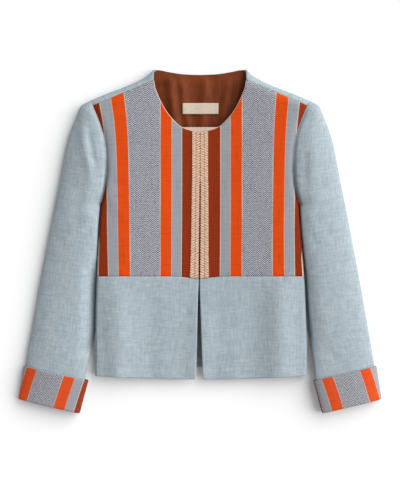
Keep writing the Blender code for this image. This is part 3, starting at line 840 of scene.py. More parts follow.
def back_shares():
    """Columns of the back from its middle: first under the neck, then under the shoulder."""
    corner = NECK_CORNER[0] / (SHOULDER_TIP[0] - SEAM_GAP)
    neck = np.linspace(0.0, corner, BACK_NECK_COLUMNS + 1)
    shoulder = corner + (1 - corner) * fine_towards_end(BACK_SHOULDER_COLUMNS)
    return np.concatenate([neck, shoulder[1:]])


def back_hem_y(share):
    return BACK_HEM_CENTRE_Y + (BACK_HEM_SIDE_Y - BACK_HEM_CENTRE_Y) * share**2


def back_ends(line, share, on_neck):
    """Where a column of the back leaves the flat, and where it ends at the neck or on the shoulder fold."""
    if share == 1.0:
        return SEAM_AT_TIP[1], SHOULDER_TIP[1]
    if on_neck:
        top = meet(line, partial(follow, BACK_NECK, 1))
        return top - (NECK_CORNER[1] - SEAM_AT_NECK[1]), top
    return meet(line, shoulder_seam_y), meet(line, shoulder_fold_y)


def back_grids():
    """The back from hem to neck and shoulder fold, and the strip that turns over the shoulder."""
    flat, strip = [], []
    for index, share in enumerate(back_shares()):
        line = partial(back_line, share)
        seam, top = back_ends(line, share, index < BACK_NECK_COLUMNS)
        lower = np.linspace(back_hem_y(share), ARMPIT_Y, BACK_LOWER_ROWS + 1)
        upper = np.linspace(ARMPIT_Y, seam, BACK_UPPER_ROWS + 1)[1:]
        fold = seam + fine_towards_end(BACK_FOLD_ROWS) * (top - seam)
        flat.append(upright(line, np.concatenate([lower, upper, fold[1:]])))
        if index >= BACK_NECK_COLUMNS:
            strip.append(upright(line, fold)[::-1])
    return np.stack(flat, axis=1), np.stack(strip, axis=1)


def hem_grid(panel):
    """The turned-up hem inside a panel whose first row is its hem: short of the side, and of even depth."""
    keep = panel[0, :, 0] < HEM_SHARE * panel[0, -1, 0]
    x, low = panel[0, keep, 0], panel[0, keep, 1] + HEM_INSET
    y = low + np.linspace(0.0, 1.0, HEM_ROWS + 1)[:, None] * (HEM_TURN_UP - HEM_INSET)
    return np.stack([np.broadcast_to(x, y.shape), y], axis=-1)


def rectangle(low, high, across, along):
    x, y = np.meshgrid(np.linspace(low[0], high[0], across + 1), np.linspace(low[1], high[1], along + 1))
    return np.stack([x, y], axis=-1)


def standing(grid, height, side=1):
    """A flat grid lifted to its height and set on the wearer's left (1) or right (-1)."""
    x, y = grid[..., 0] * side, grid[..., 1]
    return np.stack([x, y, height(x, y)], axis=-1)


def mirrored(points):
    return points * np.array([-1.0, 1.0, 1.0])


def edge_move(side_name, y):
    return follow(BODY_MOVE[side_name], 1, np.minimum(y, ARMPIT_Y))


def settled(points, side_name):
    """Points of the body on one side, moved to where that side really lies."""
    spread = (np.abs(points[..., 0]) - BODY_MOVE_FROM_X) / (BODY[0][HALF_WIDTH] - BODY_MOVE_FROM_X)
    out = points.copy()
    out[..., 0] += np.sign(points[..., 0]) * smooth(spread) * edge_move(side_name, points[..., 1])
    out[..., 0] += follow(CENTRE_MOVE, 1, points[..., 1]) * bell(points[..., 0], CENTRE_MOVE_WIDTH)
    return out


# Sleeves and cuffs
def sleeve_rows(side_name):
    """Finer sections of a sleeve, with the inner end exactly on the armhole."""
    run = lengths((SLEEVE_ROWS[:, INNER] + SLEEVE_ROWS[:, OUTER]) / 2)
    table = np.column_stack([run, SLEEVE_ROWS])
    head = np.linspace(0.0, run[ARMPIT_ROW], SLEEVE_HEAD_ROWS + 1)
    arm = np.linspace(run[ARMPIT_ROW], run[-1], SLEEVE_ARM_ROWS + 1)[1:]
    at = np.concatenate([head, arm])
    rows = np.column_stack([follow(table, 1 + column, at) for column in range(SLEEVE_ROWS.shape[1])])
    rows[: SLEEVE_HEAD_ROWS + 1, 0] = follow(ARMHOLE_TABLE, 1, rows[: SLEEVE_HEAD_ROWS + 1, 1])
    x, y = rows[SLEEVE_HEAD_ROWS:, :2].T
    beside_body = follow(BODY, HALF_WIDTH, y) + edge_move(side_name, y) + TOUCH_GAP
    touch, away = TOUCH_UNTIL_Y[side_name], APART_FROM_Y[side_name]
    apart = smooth((touch - y) / (touch - away))
    rows[SLEEVE_HEAD_ROWS:, 0] = beside_body + (x - beside_body) * apart
    return rows, at


def sleeve_relief(side_name, x, y):
    head = distance(ARMHOLE, x, y)
    gather = HEAD_PUCKER * ripple(y, HEAD_WAVES) * bell(head - HEAD_PUCKER_REACH / 2, HEAD_PUCKER_REACH)
    return gather * smooth((y - ARMPIT_Y) / CROWN_BLEND) + creases(SLEEVE_CREASES[side_name], x, y)


def across_sleeve(row, share):
    """Places at shares of the way from a section's inner end to its outer, and how far both edges are."""
    inner, outer = row[INNER], row[OUTER]
    width = np.linalg.norm(outer - inner)
    x, y = (inner + share[:, None] * (outer - inner)).T
    to_outer = np.minimum(distance(OUTER_EDGE, x, y) + ON_LINE, (1 - share) * width)
    to_inner = share * width if inner[1] <= ARMPIT_Y else distance(SLEEVE_EDGE, x, y) + ON_LINE
    return x, y, to_outer, to_inner


def sleeve_ring(row, side_name, relief=1.0):
    """One section of a sleeve: over its upper side from the inner end to the outer, and back underneath."""
    x, y, to_outer, to_inner = across_sleeve(row, fine_at_both_ends(SLEEVE_TOP_COLUMNS))
    body = follow(BODY, LOFT, y)
    loft = body + (row[CROWN] - body) * smooth(distance(ARMHOLE, x, y) / CROWN_BLEND)
    dip = armhole_dip(x, y, SLEEVE_ARMHOLE_DIP, SLEEVE_DIP_WIDTH)
    loft = loft + relief * sleeve_relief(side_name, x, y) - dip
    outer, side = rounded(to_outer / reach(y)), low_edge(to_inner, y, side_name)
    height = upper_side(outer, side, loft, row[LIFT], sleeve_edge_drop(y))
    upper = np.column_stack([x, y, height])
    x, y, to_outer, to_inner = across_sleeve(row, fine_at_both_ends(SLEEVE_UNDER_COLUMNS)[-2::-1])
    under = under_side(to_outer, to_inner, row[LIFT], sleeve_edge_drop(y))
    under = under + relief * creases(UNDER_CREASES[side_name], x, y)
    return np.vstack([upper, np.column_stack([x, y, under])])


def moved_out(ring, row, amount):
    """A closed section moved out by an amount, in its own upright plane."""
    across = unit(row[OUTER] - row[INNER])
    loop = ring[:-1]
    flat = np.column_stack([loop[:, :2] @ across, loop[:, 2]])
    after = unit(np.roll(flat, -1, axis=0) - flat)
    along = unit(np.roll(after, 1, axis=0) + after)
    normal = np.column_stack([-along[:, 1], along[:, 0]])
    move = normal * amount(normal[:, 1])[:, None]
    out = loop + np.column_stack([move[:, :1] * across, move[:, 1]])
    return np.vstack([out, out[:1]])


def cuff_row(share, side_name):
    """Section in the cuff: 0 at the cuff's upper edge, 1 at the sleeve's end, more beyond it."""
    top, end = SLEEVE_ROWS[-2:]
    row = top + share * (end - top)
    row[0] += CUFF_INNER_MOVE[side_name]
    return row


def cuff_amount(flare, depth, facing):
    """How far a cuff's outer face stands from the sleeve: it flares on top and lies close underneath."""
    return depth + flare * np.clip((1 + facing) / 2, 0.0, 1.0)


def cuff_stations():
    """Places along a turned-back cuff, from its loose edge down the outside and up the inside."""
    outside = CUFF_GAP + CUFF_CLOTH
    inside = -(CLOTH + outside)
    turn = (outside - inside) / 2
    stations = []
    for up in np.linspace(CUFF_TURN_UP, 0.0, CUFF_ROWS):
        stations.append((-up, CUFF_FLARE * (up / CUFF_TURN_UP) ** CUFF_FLARE_POWER, outside))
    for angle in np.linspace(0.0, np.pi, CUFF_FOLD_STEPS + 1)[1:]:
        stations.append((SEAM_GAP + turn * np.sin(angle), 0.0, inside + turn * (1 + np.cos(angle))))
    stations.append((-CUFF_INSIDE, 0.0, inside))
    return stations


def cuff_rings(side_name):
    length = np.linalg.norm(cuff_row(1.0, side_name)[INNER] - cuff_row(0.0, side_name)[INNER])
    rings = []
    for past_end, flare, depth in cuff_stations():
        row = cuff_row(1 + past_end / length, side_name)
        ring = sleeve_ring(row, side_name, relief=0.0)
        ring[-1] = ring[0]
        rings.append(moved_out(ring, row, partial(cuff_amount, flare, depth)))
    return np.stack(rings)


# Lining
def lining_height(x, y):
    """Inner face of the lining, which follows the back, with its upright folds."""
    above_label = y - LABEL_CENTRE[1]
    fold = np.zeros_like(x)
    for centre, lean, spread, height in LINING_FOLDS:
        fold = fold + height * bell(x - centre - lean * above_label, spread)
    fade = smooth((y - LINING_FOLD_LOW_Y) / (LINING_FOLD_HIGH_Y - LINING_FOLD_LOW_Y))
    below_seam = follow(BACK_NECK, 1, np.abs(x)) - y
    return above_back(THIN_CLOTH, x, y) + fold * fade * smooth(below_seam / LINING_FOLD_END)


def lining_top_y(x):
    """Just under the neck edge, clear of the curled neck corner, and below the shoulders beyond it."""
    if x > NECK_CORNER[0]:
        return float(shoulder_fold_y(x)) - SHOULDER_REACH
    beside = np.clip(NECK_CORNER[0] - x, 0.0, LINING_CORNER)
    round_corner = NECK_CORNER[1] - np.sqrt(LINING_CORNER**2 - beside**2)
    return min(float(follow(BACK_NECK, 1, x)) - LINING_TOP_INSET, round_corner)


def lining_grid():
    columns = []
    for x in np.linspace(-LINING_HALF_WIDTH, LINING_HALF_WIDTH, LINING_COLUMNS + 1):
        top = lining_top_y(abs(x))
        y = LINING_BOTTOM_Y + fine_towards_end(LINING_ROWS) * (top - LINING_BOTTOM_Y)
        columns.append(np.column_stack([np.full_like(y, x), y]))
    return np.stack(columns, axis=1)


def label_height(x, y):
    """The label lies on the highest fold behind it, and follows the lining's folds only a little."""
    crest = max(height for centre, _, _, height in LINING_FOLDS if abs(centre) < LABEL_SIZE[0] / 2)
    level = CLOTH + crest + 2 * (SEAM_GAP + THIN_CLOTH)
    return LABEL_FOLLOW * lining_height(x, y) + (1 - LABEL_FOLLOW) * level + LABEL_CLEAR


# Shells
def grid_faces(rows, columns):
    """Quads of a grid whose points are counted row by row."""
    first = (np.arange(rows - 1)[:, None] * columns + np.arange(columns - 1)).ravel()
    return np.column_stack([first, first + 1, first + columns + 1, first + columns])


def welded(points):
    """The first of the points at each place, in a fixed order, and which of them each point becomes."""
    cells = np.round(points / WELD).astype(int)
    _, first, index = np.unique(cells, axis=0, return_index=True, return_inverse=True)
    return first, index.reshape(-1)


def joined(grids, turned):
    """Points, faces and cloth places of several grids, with points that coincide welded."""
    points, places, faces, count = [], [], [], 0
    for grid, place in grids:
        rows, columns = grid.shape[:2]
        quads = grid_faces(rows, columns) + count
        faces.append(quads[:, ::-1] if turned else quads)
        points.append(grid.reshape(-1, 3))
        places.append(place.reshape(-1, 2))
        count += rows * columns
    points, places, faces = np.concatenate(points), np.concatenate(places), np.concatenate(faces)
    first, index = welded(points)
    return points[first], index[faces], places[faces]


def vertex_normals(points, faces):
    a, b, c, d = (points[faces[:, corner]] for corner in range(4))
    across = np.cross(c - a, d - b)
    total = np.zeros_like(points)
    for corner in range(4):
        np.add.at(total, faces[:, corner], across)
    return unit(total)


def open_edges(faces, places):
    """Edges with a face on one side only, in that face's direction, with their cloth places."""
    start, end = faces.ravel(), np.roll(faces, -1, axis=1).ravel()
    start_place, end_place = places.reshape(-1, 2), np.roll(places, -1, axis=1).reshape(-1, 2)
    base = faces.max() + 1
    alone = ~np.isin(start * base + end, end * base + start)
    return start[alone], end[alone], start_place[alone], end_place[alone]


def shell(points, faces, places, thickness):
    """A closed wall of even thickness behind an open surface, with rounded rims."""
    normal = vertex_normals(points, faces)
    start, end, start_place, end_place = open_edges(faces, places)
    run = unit(points[end] - points[start])
    out = np.zeros_like(points)
    np.add.at(out, start, np.cross(run, normal[start]))
    np.add.at(out, end, np.cross(run, normal[end]))
    rim = np.unique(np.concatenate([start, end]))
    middle = points[rim] - normal[rim] * thickness / 2 + unit(out[rim]) * thickness * RIM_ROUND
    count = len(points)
    rim_index = np.full(count, -1)
    rim_index[rim] = 2 * count + np.arange(len(rim))
    outer_rim = np.column_stack([end, start, rim_index[start], rim_index[end]])
    inner_rim = np.column_stack([rim_index[end], rim_index[start], start + count, end + count])
    rim_places = np.stack([end_place, start_place, start_place, end_place], axis=1)
    all_points = np.concatenate([points, points - normal * thickness, middle])
    all_faces = np.concatenate([faces, faces[:, ::-1] + count, outer_rim, inner_rim])
    return all_points, all_faces, np.concatenate([places, places[:, ::-1], rim_places, rim_places])


def new_object(name, data):
    item = bpy.data.objects.new(name, data)
    bpy.context.scene.collection.objects.link(item)
    return item


def new_piece(name, points, faces, places, kind, nodes):
    """A mesh object of one kind of cloth, which rides on the garment's one body."""
    mesh = bpy.data.meshes.new(name)
    mesh.from_pydata(points.tolist(), [], faces.tolist())
    layer = mesh.uv_layers.new(name="cloth")
    layer.data.foreach_set("uv", places.astype(np.float32).ravel())
    mesh.shade_smooth()
    mesh.materials.append(MATERIALS[kind])
    piece = new_object(name, mesh)
    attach(piece, "root")
    if nodes:
        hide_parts(*nodes)
    return piece


def cloth(name, grids, thickness, kind, turned=False, nodes=None):
    """A cloth on welded grids, which stands for the node of its own name, or for the nodes given."""
    wall = shell(*joined(grids, turned), thickness)
    return new_piece(name + "_cloth", *wall, kind, [name] if nodes is None else nodes)


def paint(piece, name, values, rim_value):
    """A number at each point of a piece's outer face, the same on its inner face, and one for the rim."""
    attribute = piece.data.attributes.new(name, "FLOAT", "POINT")
    spread = np.full(len(piece.data.vertices), rim_value, np.float32)
    spread[: len(values)] = values
    spread[len(values) : 2 * len(values)] = values
    attribute.data.foreach_set("value", spread)


# Materials
# Sockets of a mix node for colours
FIRST_COLOUR, SECOND_COLOUR, MIXED_COLOUR = 6, 7, 2


class Shader:
    """A cloth material's nodes, with short calls for the kinds that are used here."""

    def __init__(self, name, roughness, sheen):
        self.material = bpy.data.materials.new(name)
        self.material.use_nodes = True
        self.tree = self.material.node_tree
        self.surface = self.tree.nodes["Principled BSDF"]
        self.surface.inputs["Roughness"].default_value = roughness
        self.surface.inputs["Sheen Weight"].default_value = sheen
        self.surface.inputs["Sheen Roughness"].default_value = SHEEN_ROUGH
        self.surface.inputs["Specular IOR Level"].default_value = GLOSS
        uv = self.tree.nodes.new("ShaderNodeUVMap")
        uv.uv_map = "cloth"
        self.place = uv.outputs["UV"]
        split = self.tree.nodes.new("ShaderNodeSeparateXYZ")
        self.tree.links.new(self.place, split.inputs[0])
        self.across, self.along = split.outputs["X"], split.outputs["Y"]

    def feed(self, socket, value):
        if isinstance(value, bpy.types.NodeSocket):
            self.tree.links.new(value, socket)
        elif isinstance(value, tuple) and len(value) == 3 and socket.type == "RGBA":
            socket.default_value = (*value, 1.0)
        else:
            socket.default_value = value

    def math(self, operation, *values):
        node = self.tree.nodes.new("ShaderNodeMath")
        node.operation = operation
        for socket, value in zip(node.inputs, values):
            self.feed(socket, value)
        return node.outputs[0]

    def noise(self, across, along, detail, shift):
        """Noise with grains of the given size in metres, between about 0 and 1."""
        move = self.tree.nodes.new("ShaderNodeMapping")
        move.inputs["Location"].default_value = (shift, shift, shift)
        move.inputs["Scale"].default_value = (1 / across, 1 / along, 1.0)
        self.tree.links.new(self.place, move.inputs["Vector"])
        grain = self.tree.nodes.new("ShaderNodeTexNoise")
        grain.inputs["Scale"].default_value = 1.0
        grain.inputs["Detail"].default_value = detail
        self.tree.links.new(move.outputs["Vector"], grain.inputs["Vector"])
        return grain.outputs["Fac"]

    def grains(self, table, base=0.0):
        """Several noises added up, each by its share."""
        total = base
        for *grain, share in table:
            total = self.math("MULTIPLY_ADD", self.noise(*grain), share, total)
        return total

    def wave(self, value, length):
        return self.math("SINE", self.math("MULTIPLY", value, 2 * np.pi / length))

    def mix(self, share, first, second, blend="MIX"):
        node = self.tree.nodes.new("ShaderNodeMix")
        node.data_type = "RGBA"
        node.blend_type = blend
        self.feed(node.inputs["Factor"], share)
        self.feed(node.inputs[FIRST_COLOUR], first)
        self.feed(node.inputs[SECOND_COLOUR], second)
        return node.outputs[MIXED_COLOUR]

    def ramp(self, value, stops, interpolation="LINEAR"):
        node = self.tree.nodes.new("ShaderNodeValToRGB")
        node.color_ramp.interpolation = interpolation
        while len(node.color_ramp.elements) < len(stops):
            node.color_ramp.elements.new(1.0)
        for element, (place, colour) in zip(node.color_ramp.elements, stops):
            element.position = place
            element.color = (*colour, 1.0)
        self.feed(node.inputs["Fac"], value)
        return node.outputs["Color"]

    def attribute(self, name):
        node = self.tree.nodes.new("ShaderNodeAttribute")
        node.attribute_name = name
        return node.outputs["Fac"]

    def finish(self, colour, height, depth):
        bump = self.tree.nodes.new("ShaderNodeBump")
        bump.inputs["Distance"].default_value = depth
        bump.inputs["Strength"].default_value = 1.0
        self.feed(bump.inputs["Height"], height)
        self.tree.links.new(bump.outputs["Normal"], self.surface.inputs["Normal"])
        self.feed(self.surface.inputs["Base Color"], colour)
        return self.material


def plain_weave(shader, pitch):
    """Threads that pass over and under each other, as a height from 0 to 1."""
    warp, weft = shader.wave(shader.across, 2 * pitch), shader.wave(shader.along, 2 * pitch)
    return shader.math("MULTIPLY_ADD", shader.math("MULTIPLY", warp, weft), 0.5, 0.5)


def linen_material():
    """Slubbed linen: pale and deep threads run both ways, with thick places along them."""
    shader = Shader("linen", ROUGH, LINEN_SHEEN)
    threads = shader.grains(LINEN_GRAINS)
    height = shader.math("MULTIPLY_ADD", threads, LINEN_SLUB, plain_weave(shader, LINEN_THREAD))
    return shader.finish(shader.ramp(threads, LINEN_TONES), height, LINEN_DEPTH)


def herringbone(shader):
    """Chevrons in upright columns: 0 on the deep threads and 1 on the pale ones."""
    column = shader.math("PINGPONG", shader.math("ADD", shader.across, CHEVRON_WIDTH / 2), CHEVRON_WIDTH)
    climb = shader.math("ADD", shader.along, column)
    twill = shader.wave(climb, CHEVRON_RISE)
    return shader.math("MULTIPLY_ADD", twill, 0.5, 0.5)


def faded(colour, share):
    return tuple((1 - share) * part + share * pale for part, pale in zip(colour, CREAM))


def plain_stripes(shader, band, edges, fade):
    """The plain colours across the cloth, from the middle of a herringbone band to the cream edge."""
    herringbone_edge, orange_edge, grey_edge = edges
    stops = (
        (0.0, GREY),
        (herringbone_edge / CREAM_EDGE, faded(ORANGE, fade)),
        (orange_edge / CREAM_EDGE, faded(GREY, fade)),
        (grey_edge / CREAM_EDGE, faded(BROWN, fade)),
        (BROWN_EDGE / CREAM_EDGE, CREAM),
    )
    return shader.ramp(shader.math("DIVIDE", band, CREAM_EDGE), stops, "CONSTANT")


def pale_threads(shader, band, edges, colour):
    """A colour with the pale threads between stripes and the dashed one along the herringbone band."""
    herringbone_edge, orange_edge, grey_edge = edges
    for place, strength in ((orange_edge, ORANGE_THREAD), (grey_edge, GREY_THREAD)):
        thread = shader.math("COMPARE", band, place, THREAD_REACH)
        colour = shader.mix(shader.math("MULTIPLY", thread, strength), colour, CREAM)
    thread = shader.math("COMPARE", band, herringbone_edge - DASH_INSET, THREAD_REACH)
    dash = shader.math("GREATER_THAN", shader.wave(shader.along, DASH_PITCH), 0.0)
    return shader.mix(shader.math("MULTIPLY", thread, dash), colour, CREAM)


def striped_material(name, edges, fade):
    """Woven stripes on either side of a herringbone band, repeated across the cloth."""
    shader = Shader(name, ROUGH, 0.0)
    wobble = shader.math("MULTIPLY_ADD", shader.noise(*WOBBLE_GRAIN), STRIPE_WOBBLE, -STRIPE_WOBBLE / 2)
    band = shader.math("PINGPONG", shader.math("ADD", shader.across, wobble), CREAM_EDGE)
    twill = herringbone(shader)
    lines = shader.math("MULTIPLY_ADD", twill, TWILL, TWILL_SHIFT)
    flecked = shader.math("MULTIPLY_ADD", shader.noise(*TWILL_GRAIN), TWILL_FLECK, lines)
    tones = tuple(zip(TWILL_TONES, (faded(HERRING_DEEP, fade), faded(HERRING_PALE, fade))))
    plain, chevrons = plain_stripes(shader, band, edges, fade), shader.ramp(flecked, tones)
    inside = shader.math("LESS_THAN", band, edges[0])
    colour = shader.mix(inside, plain, chevrons)
    shade = shader.ramp(shader.grains(STRIPE_GRAINS, STRIPE_BASE), ((0.0, BLACK), (1.0, WHITE)))
    colour = pale_threads(shader, band, edges, shader.mix(1.0, colour, shade, "MULTIPLY"))
    ridges = shader.math("MULTIPLY", inside, TWILL_RELIEF)
    height = shader.math("MULTIPLY_ADD", twill, ridges, plain_weave(shader, STRIPE_THREAD))
    return shader.finish(colour, height, STRIPE_DEPTH)


def braid_material():
    """Knobbly braid: pale on the knots, brown in the hollows between them, where the brown is painted
    shade.
    """
    shader = Shader("braid", ROUGH, TRIM_SHEEN)
    # The knots' height sets the colour, so the hollows between them get painted shade
    knot = shader.math("MULTIPLY_ADD", shader.attribute("knot"), KNOT_SHARE, KNOT_SHIFT)
    knot = shader.math("MULTIPLY_ADD", shader.noise(*BRAID_GRAIN), BRAID_FLECK, knot)
    return shader.finish(shader.ramp(knot, BRAID_TONES), shader.noise(*BRAID_FUZZ), BRAID_DEPTH)


def cotton_material(name, colour):
    """Plain cotton tape with a fine weave."""
    shader = Shader(name, ROUGH, TRIM_SHEEN)
    deep = tuple(COTTON_DEEP * part for part in colour)
    tone = shader.ramp(shader.grains(COTTON_GRAINS), tuple(zip(COTTON_TONES, (deep, colour))))
    return shader.finish(tone, plain_weave(shader, COTTON_THREAD), COTTON_DEPTH)


def satin_material():
    """Lining satin, with a soft gloss along its folds."""
    shader = Shader("lining_satin", SATIN_ROUGH, 0.0)
    shader.surface.inputs["Specular IOR Level"].default_value = SATIN_GLOSS
    tone = shader.ramp(shader.grains(SATIN_GRAINS), SATIN_TONES)
    return shader.finish(tone, shader.noise(*SATIN_FUZZ), SATIN_DEPTH)


FRONT_EDGES = (HERRINGBONE_EDGE, ORANGE_EDGE, GREY_EDGE)
CUFF_EDGES = (CUFF_HERRINGBONE_EDGE, CUFF_ORANGE_EDGE, CUFF_GREY_EDGE)

MATERIALS = {
    "linen": linen_material(),
    "striped_cloth": striped_material("striped_cloth", FRONT_EDGES, 0.0),
    "cuff_cloth": striped_material("cuff_cloth", CUFF_EDGES, CUFF_FADE),
    "braid": braid_material(),
    "cream_cloth": cotton_material("cream_cloth", CREAM),
    "label_cloth": cotton_material("label_cloth", LABEL),
    "lining_satin": satin_material(),
}


# Pieces
def flat_place(grid, side=1):
    """Cloth places of a panel that lies level: straight down from above."""
    return np.stack([grid[..., 0] * side, grid[..., 1]], axis=-1)


def stripe_place(grid, side_name):
    """Cloth places of a striped front: across from the middle of its herringbone band, and along.

    The stripes lean out towards the shoulder, and a cream edge comes into view beside the waist.
    """
    x, y = grid[..., 0], grid[..., 1]
    spread = np.maximum(x - STRIPE_LEAN_FROM_X, 0.0) / (STRIPE_LEAN_FULL_X - STRIPE_LEAN_FROM_X)
    lean = STRIPE_LEAN_SHARE[side_name] * follow(STRIPE_LEAN, 1, y) * spread
    across = x - lean - STRIPE_MIDDLE[side_name]
    edge = body_edge(y)
    beside_waist = smooth((STRIPE_PULL_FROM_Y[side_name] - y) / STRIPE_PULL_LENGTH)
    near = smooth((x - edge) / STRIPE_PULL_WIDTH + 1) * beside_waist
    pull = near * (CREAM_EDGE + STRIPE_PULL_OVER - (edge - STRIPE_MIDDLE[side_name]))
    return np.stack([np.minimum(across + pull, CREAM_EDGE), y], axis=-1)


def both_sides(points, plan):
    """A grid and its mirror image on the wearer's right, each with its cloth places."""
    return [(points, flat_place(plan)), (mirrored(points)[:, ::-1], flat_place(plan, -1)[:, ::-1])]


def make_back():
    flat_plan, strip_plan = back_grids()
    flat, strip = standing(flat_plan, back_height), standing(strip_plan, front_height)
    flat[-1, BACK_NECK_COLUMNS:, 2] = EDGE_HEIGHT
    strip[0, :, 2] = EDGE_HEIGHT
    grids = []
    for points, plan in ((flat, flat_plan), (strip, strip_plan)):
        (left, left_place), (right, right_place) = both_sides(points, plan)
        grids += [(settled(left, "left"), left_place), (settled(right, "right"), right_place)]
    back = cloth("back", grids, CLOTH, "linen", turned=True)
    plan = hem_grid(flat_plan)
    points = standing(plan, partial(above_back, HEM_CLOTH))
    hem = cloth("back_hem", both_sides(points, plan), HEM_CLOTH, "linen", nodes=[])


def make_front(name, side, lines):
    """A striped front, the plain lower front below it and that one's hem."""
    turned = side < 0
    plan = front_grid(lines)
    grid = settled(standing(plan, front_height, side), name)
    piece = cloth("front_" + name, [(grid, stripe_place(plan, name))], CLOTH, "striped_cloth", turned)
    plan = peplum_grid(lines)
    grid = settled(standing(plan, front_height, side), name)
    piece = cloth("peplum_" + name, [(grid, flat_place(plan, side))], CLOTH, "linen", turned)
    plan = hem_grid(plan)
    grid = settled(standing(plan, behind_front, side), name)
    hem_name = "peplum_" + name + "_hem"
    hem = cloth(hem_name, [(grid, flat_place(plan, side))], HEM_CLOTH, "linen", turned, nodes=[])


def knots(across, along):
    """Height of the braid's strands from 0 to 1: plaits side by side, with strands that slant by turns."""
    place = across * BRAID_COLUMNS
    column = np.minimum(np.floor(place), BRAID_COLUMNS - 1)
    aside = 2 * (place - column) - 1
    half = column + 0.5 * (aside > 0)
    along = along + half * BRAID_COLUMN_START
    slant = along / BRAID_KNOT + BRAID_DRIFT * ripple(along, SEAM_WAVES) - BRAID_SLANT * np.abs(aside)
    strand = np.abs(np.sin(np.pi * slant)) ** STRAND_POWER * (1 - STRAND_FALL * aside**STRAND_FALL_POWER)
    return strand * (1 - BRAID_UNEVEN * (1 + ripple(along, HEAD_WAVES)) / 2)


def make_braid(name, side):
    shares = np.linspace(0.0, 1.0, BRAID_FINE_COLUMNS + 1)
    columns = []
    for share in shares:
        line = partial(braid_line, share)
        low = float(waist_y(line(WAIST_SIDE_Y))) + SEAM_GAP / 2
        columns.append(upright(line, np.linspace(low, meet(line, front_top_y), BRAID_FINE_ROWS + 1)))
    grid = np.stack(columns, axis=1)
    relief = knots(np.broadcast_to(shares, grid.shape[:2]), grid[..., 1] + BRAID_START[name])
    points = settled(standing(grid, above_front, side), name)
    points[..., 2] += BRAID_RELIEF * (relief - BRAID_LEVEL)
    piece = cloth("braid_" + name, [(points, flat_place(grid))], BRAID_CLOTH, "braid", side < 0)
    # The knots' height, which the braid's colour turns into painted shade in the hollows
    order, _ = welded(points.reshape(-1, 3))
    paint(piece, "knot", relief.ravel()[order], BRAID_RIM_VALUE)


def tube(name, line, radius, sides, kind, nodes):
    """A round cord along a line of points, pinched shut at both ends."""
    run = unit(np.gradient(line, axis=0))
    aside = unit(np.cross(run, (0.0, 0.0, 1.0)))
    up = np.cross(aside, run)
    angles = np.linspace(0.0, 2 * np.pi, sides + 1)
    ring = np.cos(angles)[None, :, None] * aside[:, None] + np.sin(angles)[None, :, None] * up[:, None]
    tip = radius / 2
    # Rounded, so that the points from above and below meet exactly
    pinch = radius * np.round(np.cos(angles), PINCH_DIGITS)[:, None]
    start = line[0] - run[0] * tip + pinch * aside[0]
    end = line[-1] + run[-1] * tip + pinch * aside[-1]
    points = np.concatenate([start[None], line[:, None] + radius * ring, end[None]])
    along = lengths(line)
    along = np.concatenate([[-tip], along, [along[-1] + tip]])
    place = np.stack(np.broadcast_arrays((angles * radius)[None, :], along[:, None]), axis=-1)
    return new_piece(name, *joined([(points, place)], False), kind, nodes)


def make_neck_highlight(name, side, lines):
    """A narrow cream cord just outside the front neckline, from the braid to the shoulder seam: its pale
    colour is a painted highlight along the neckline's lit edge.
    """
    first = FRONT_BRAID_COLUMNS
    neck = lines[first : first + FRONT_NECK_COLUMNS + 1]
    tops = [meet(line, front_top_y) for line in neck]
    edge = np.array([(float(line(top)), top) for line, top in zip(neck, tops)])
    run = unit(np.gradient(edge, axis=0))
    out = edge + np.column_stack([-run[:, 1], run[:, 0]]) * HIGHLIGHT_CORD_OUT
    z = front_height(edge[:, 0] * side, edge[:, 1]) - HIGHLIGHT_CORD_DOWN
    line = np.column_stack([out[:, 0] * side, out[:, 1], z])
    # The cream cord stands for the neck piping node and paints the highlight of the neckline's edge
    node = "neck_piping_" + name
    tube(node + "_cord", line, HIGHLIGHT_CORD_RADIUS, HIGHLIGHT_CORD_SIDES, "cream_cloth", [node])


def ringed(rings, down, middle, side):
    """Sections of a tube as a grid on one side, with cloth places around it and down its length."""
    around = np.stack([lengths(ring) for ring in rings]) - middle
    place = np.stack([around, np.broadcast_to(-down[:, None], around.shape)], axis=-1)
    return rings * np.array([side, 1.0, 1.0]), place


def make_sleeve(name, side):
    rows, at = sleeve_rows(name)
    rings = np.stack([sleeve_ring(row, name) for row in rows])
    rings[SLEEVE_HEAD_ROWS:, -1] = rings[SLEEVE_HEAD_ROWS:, 0]
    grids = [ringed(rings, at, 0.0, side)]
    piece = cloth("sleeve_" + name, grids, CLOTH, "linen", turned=side > 0)


def make_cuff(name, side):
    rings = cuff_rings(name)
    grids = [ringed(rings, lengths(rings[:, 0]), CUFF_STRIPE_MIDDLE[name], side)]
    piece = cloth("cuff_" + name, grids, CUFF_CLOTH, "cuff_cloth", turned=side > 0)


def make_level(name, grid, height, kind):
    """A thin cloth in the neck, which lies level."""
    return cloth(name, [(standing(grid, height), flat_place(grid))], THIN_CLOTH, kind)


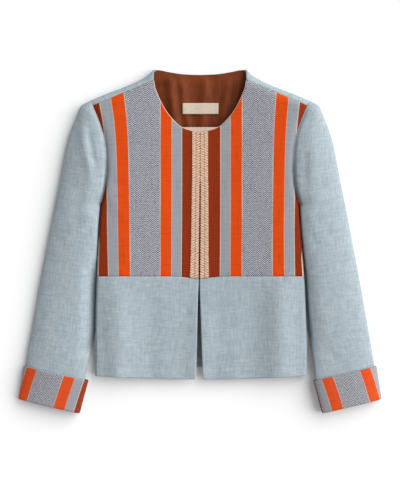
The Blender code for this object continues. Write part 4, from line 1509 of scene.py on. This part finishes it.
def make_neck_pieces():
    piece = make_level("lining", lining_grid(), lining_height, "lining_satin")
    half = np.array(LABEL_SIZE) / 2
    grid = rectangle(LABEL_CENTRE - half, LABEL_CENTRE + half, LABEL_COLUMNS, LABEL_ROWS)
    piece = make_level("label", grid, label_height, "label_cloth")
    low, high = (-UNDERLAP_HALF_WIDTH, UNDERLAP_BOTTOM_Y), (UNDERLAP_HALF_WIDTH, UNDERLAP_TOP_Y)
    grid = rectangle(low, high, UNDERLAP_COLUMNS, UNDERLAP_ROWS)
    piece = make_level("neck_underlap", grid, behind_front, "cream_cloth")


# Floor, camera and light
def make_floor():
    mesh = bpy.data.meshes.new("floor")
    signs = ((-1, -1), (1, -1), (1, 1), (-1, 1))
    corners = [(x * FLOOR_HALF_SIZE, y * FLOOR_HALF_SIZE, FLOOR_Z) for x, y in signs]
    mesh.from_pydata(corners, [], [(0, 1, 2, 3)])
    floor = new_object("floor", mesh)
    material = bpy.data.materials.new("floor")
    material.use_nodes = True
    shader = material.node_tree.nodes["Principled BSDF"]
    shader.inputs["Base Color"].default_value = (*FLOOR, 1.0)
    shader.inputs["Roughness"].default_value = ROUGH
    shader.inputs["Specular IOR Level"].default_value = 0.0
    mesh.materials.append(material)


def make_camera():
    data = bpy.data.cameras.new("camera")
    data.sensor_width = SENSOR
    data.lens = SENSOR * (CAMERA_HEIGHT - EDGE_PLANE) / (max(IMAGE_SIZE) * PIXEL)
    data.clip_end = VIEW_END
    camera = new_object("camera", data)
    camera.location = (*VIEW_CENTRE, CAMERA_HEIGHT)
    bpy.context.scene.camera = camera


def make_light():
    data = bpy.data.lights.new("key", "SUN")
    data.angle = KEY_SPREAD
    data.energy = KEY_STRENGTH
    key = new_object("key", data)
    key.location = KEY_FROM
    key.rotation_mode = "QUATERNION"
    key.rotation_quaternion = key.location.to_track_quat("Z", "Y")
    world = bpy.data.worlds.new("sky")
    world.use_nodes = True
    world.node_tree.nodes["Background"].inputs["Color"].default_value = (*WHITE, 1.0)
    world.node_tree.nodes["Background"].inputs["Strength"].default_value = SKY
    bpy.context.scene.world = world
    bpy.context.scene.view_settings.view_transform = "Standard"


def build():
    make_floor()
    make_camera()
    make_light()
    make_back()
    lines = front_lines()
    for name, side in SIDES:
        make_front(name, side, lines)
        make_braid(name, side)
        make_neck_highlight(name, side, lines)
        make_sleeve(name, side)
        make_cuff(name, side)
    make_neck_pieces()


build()
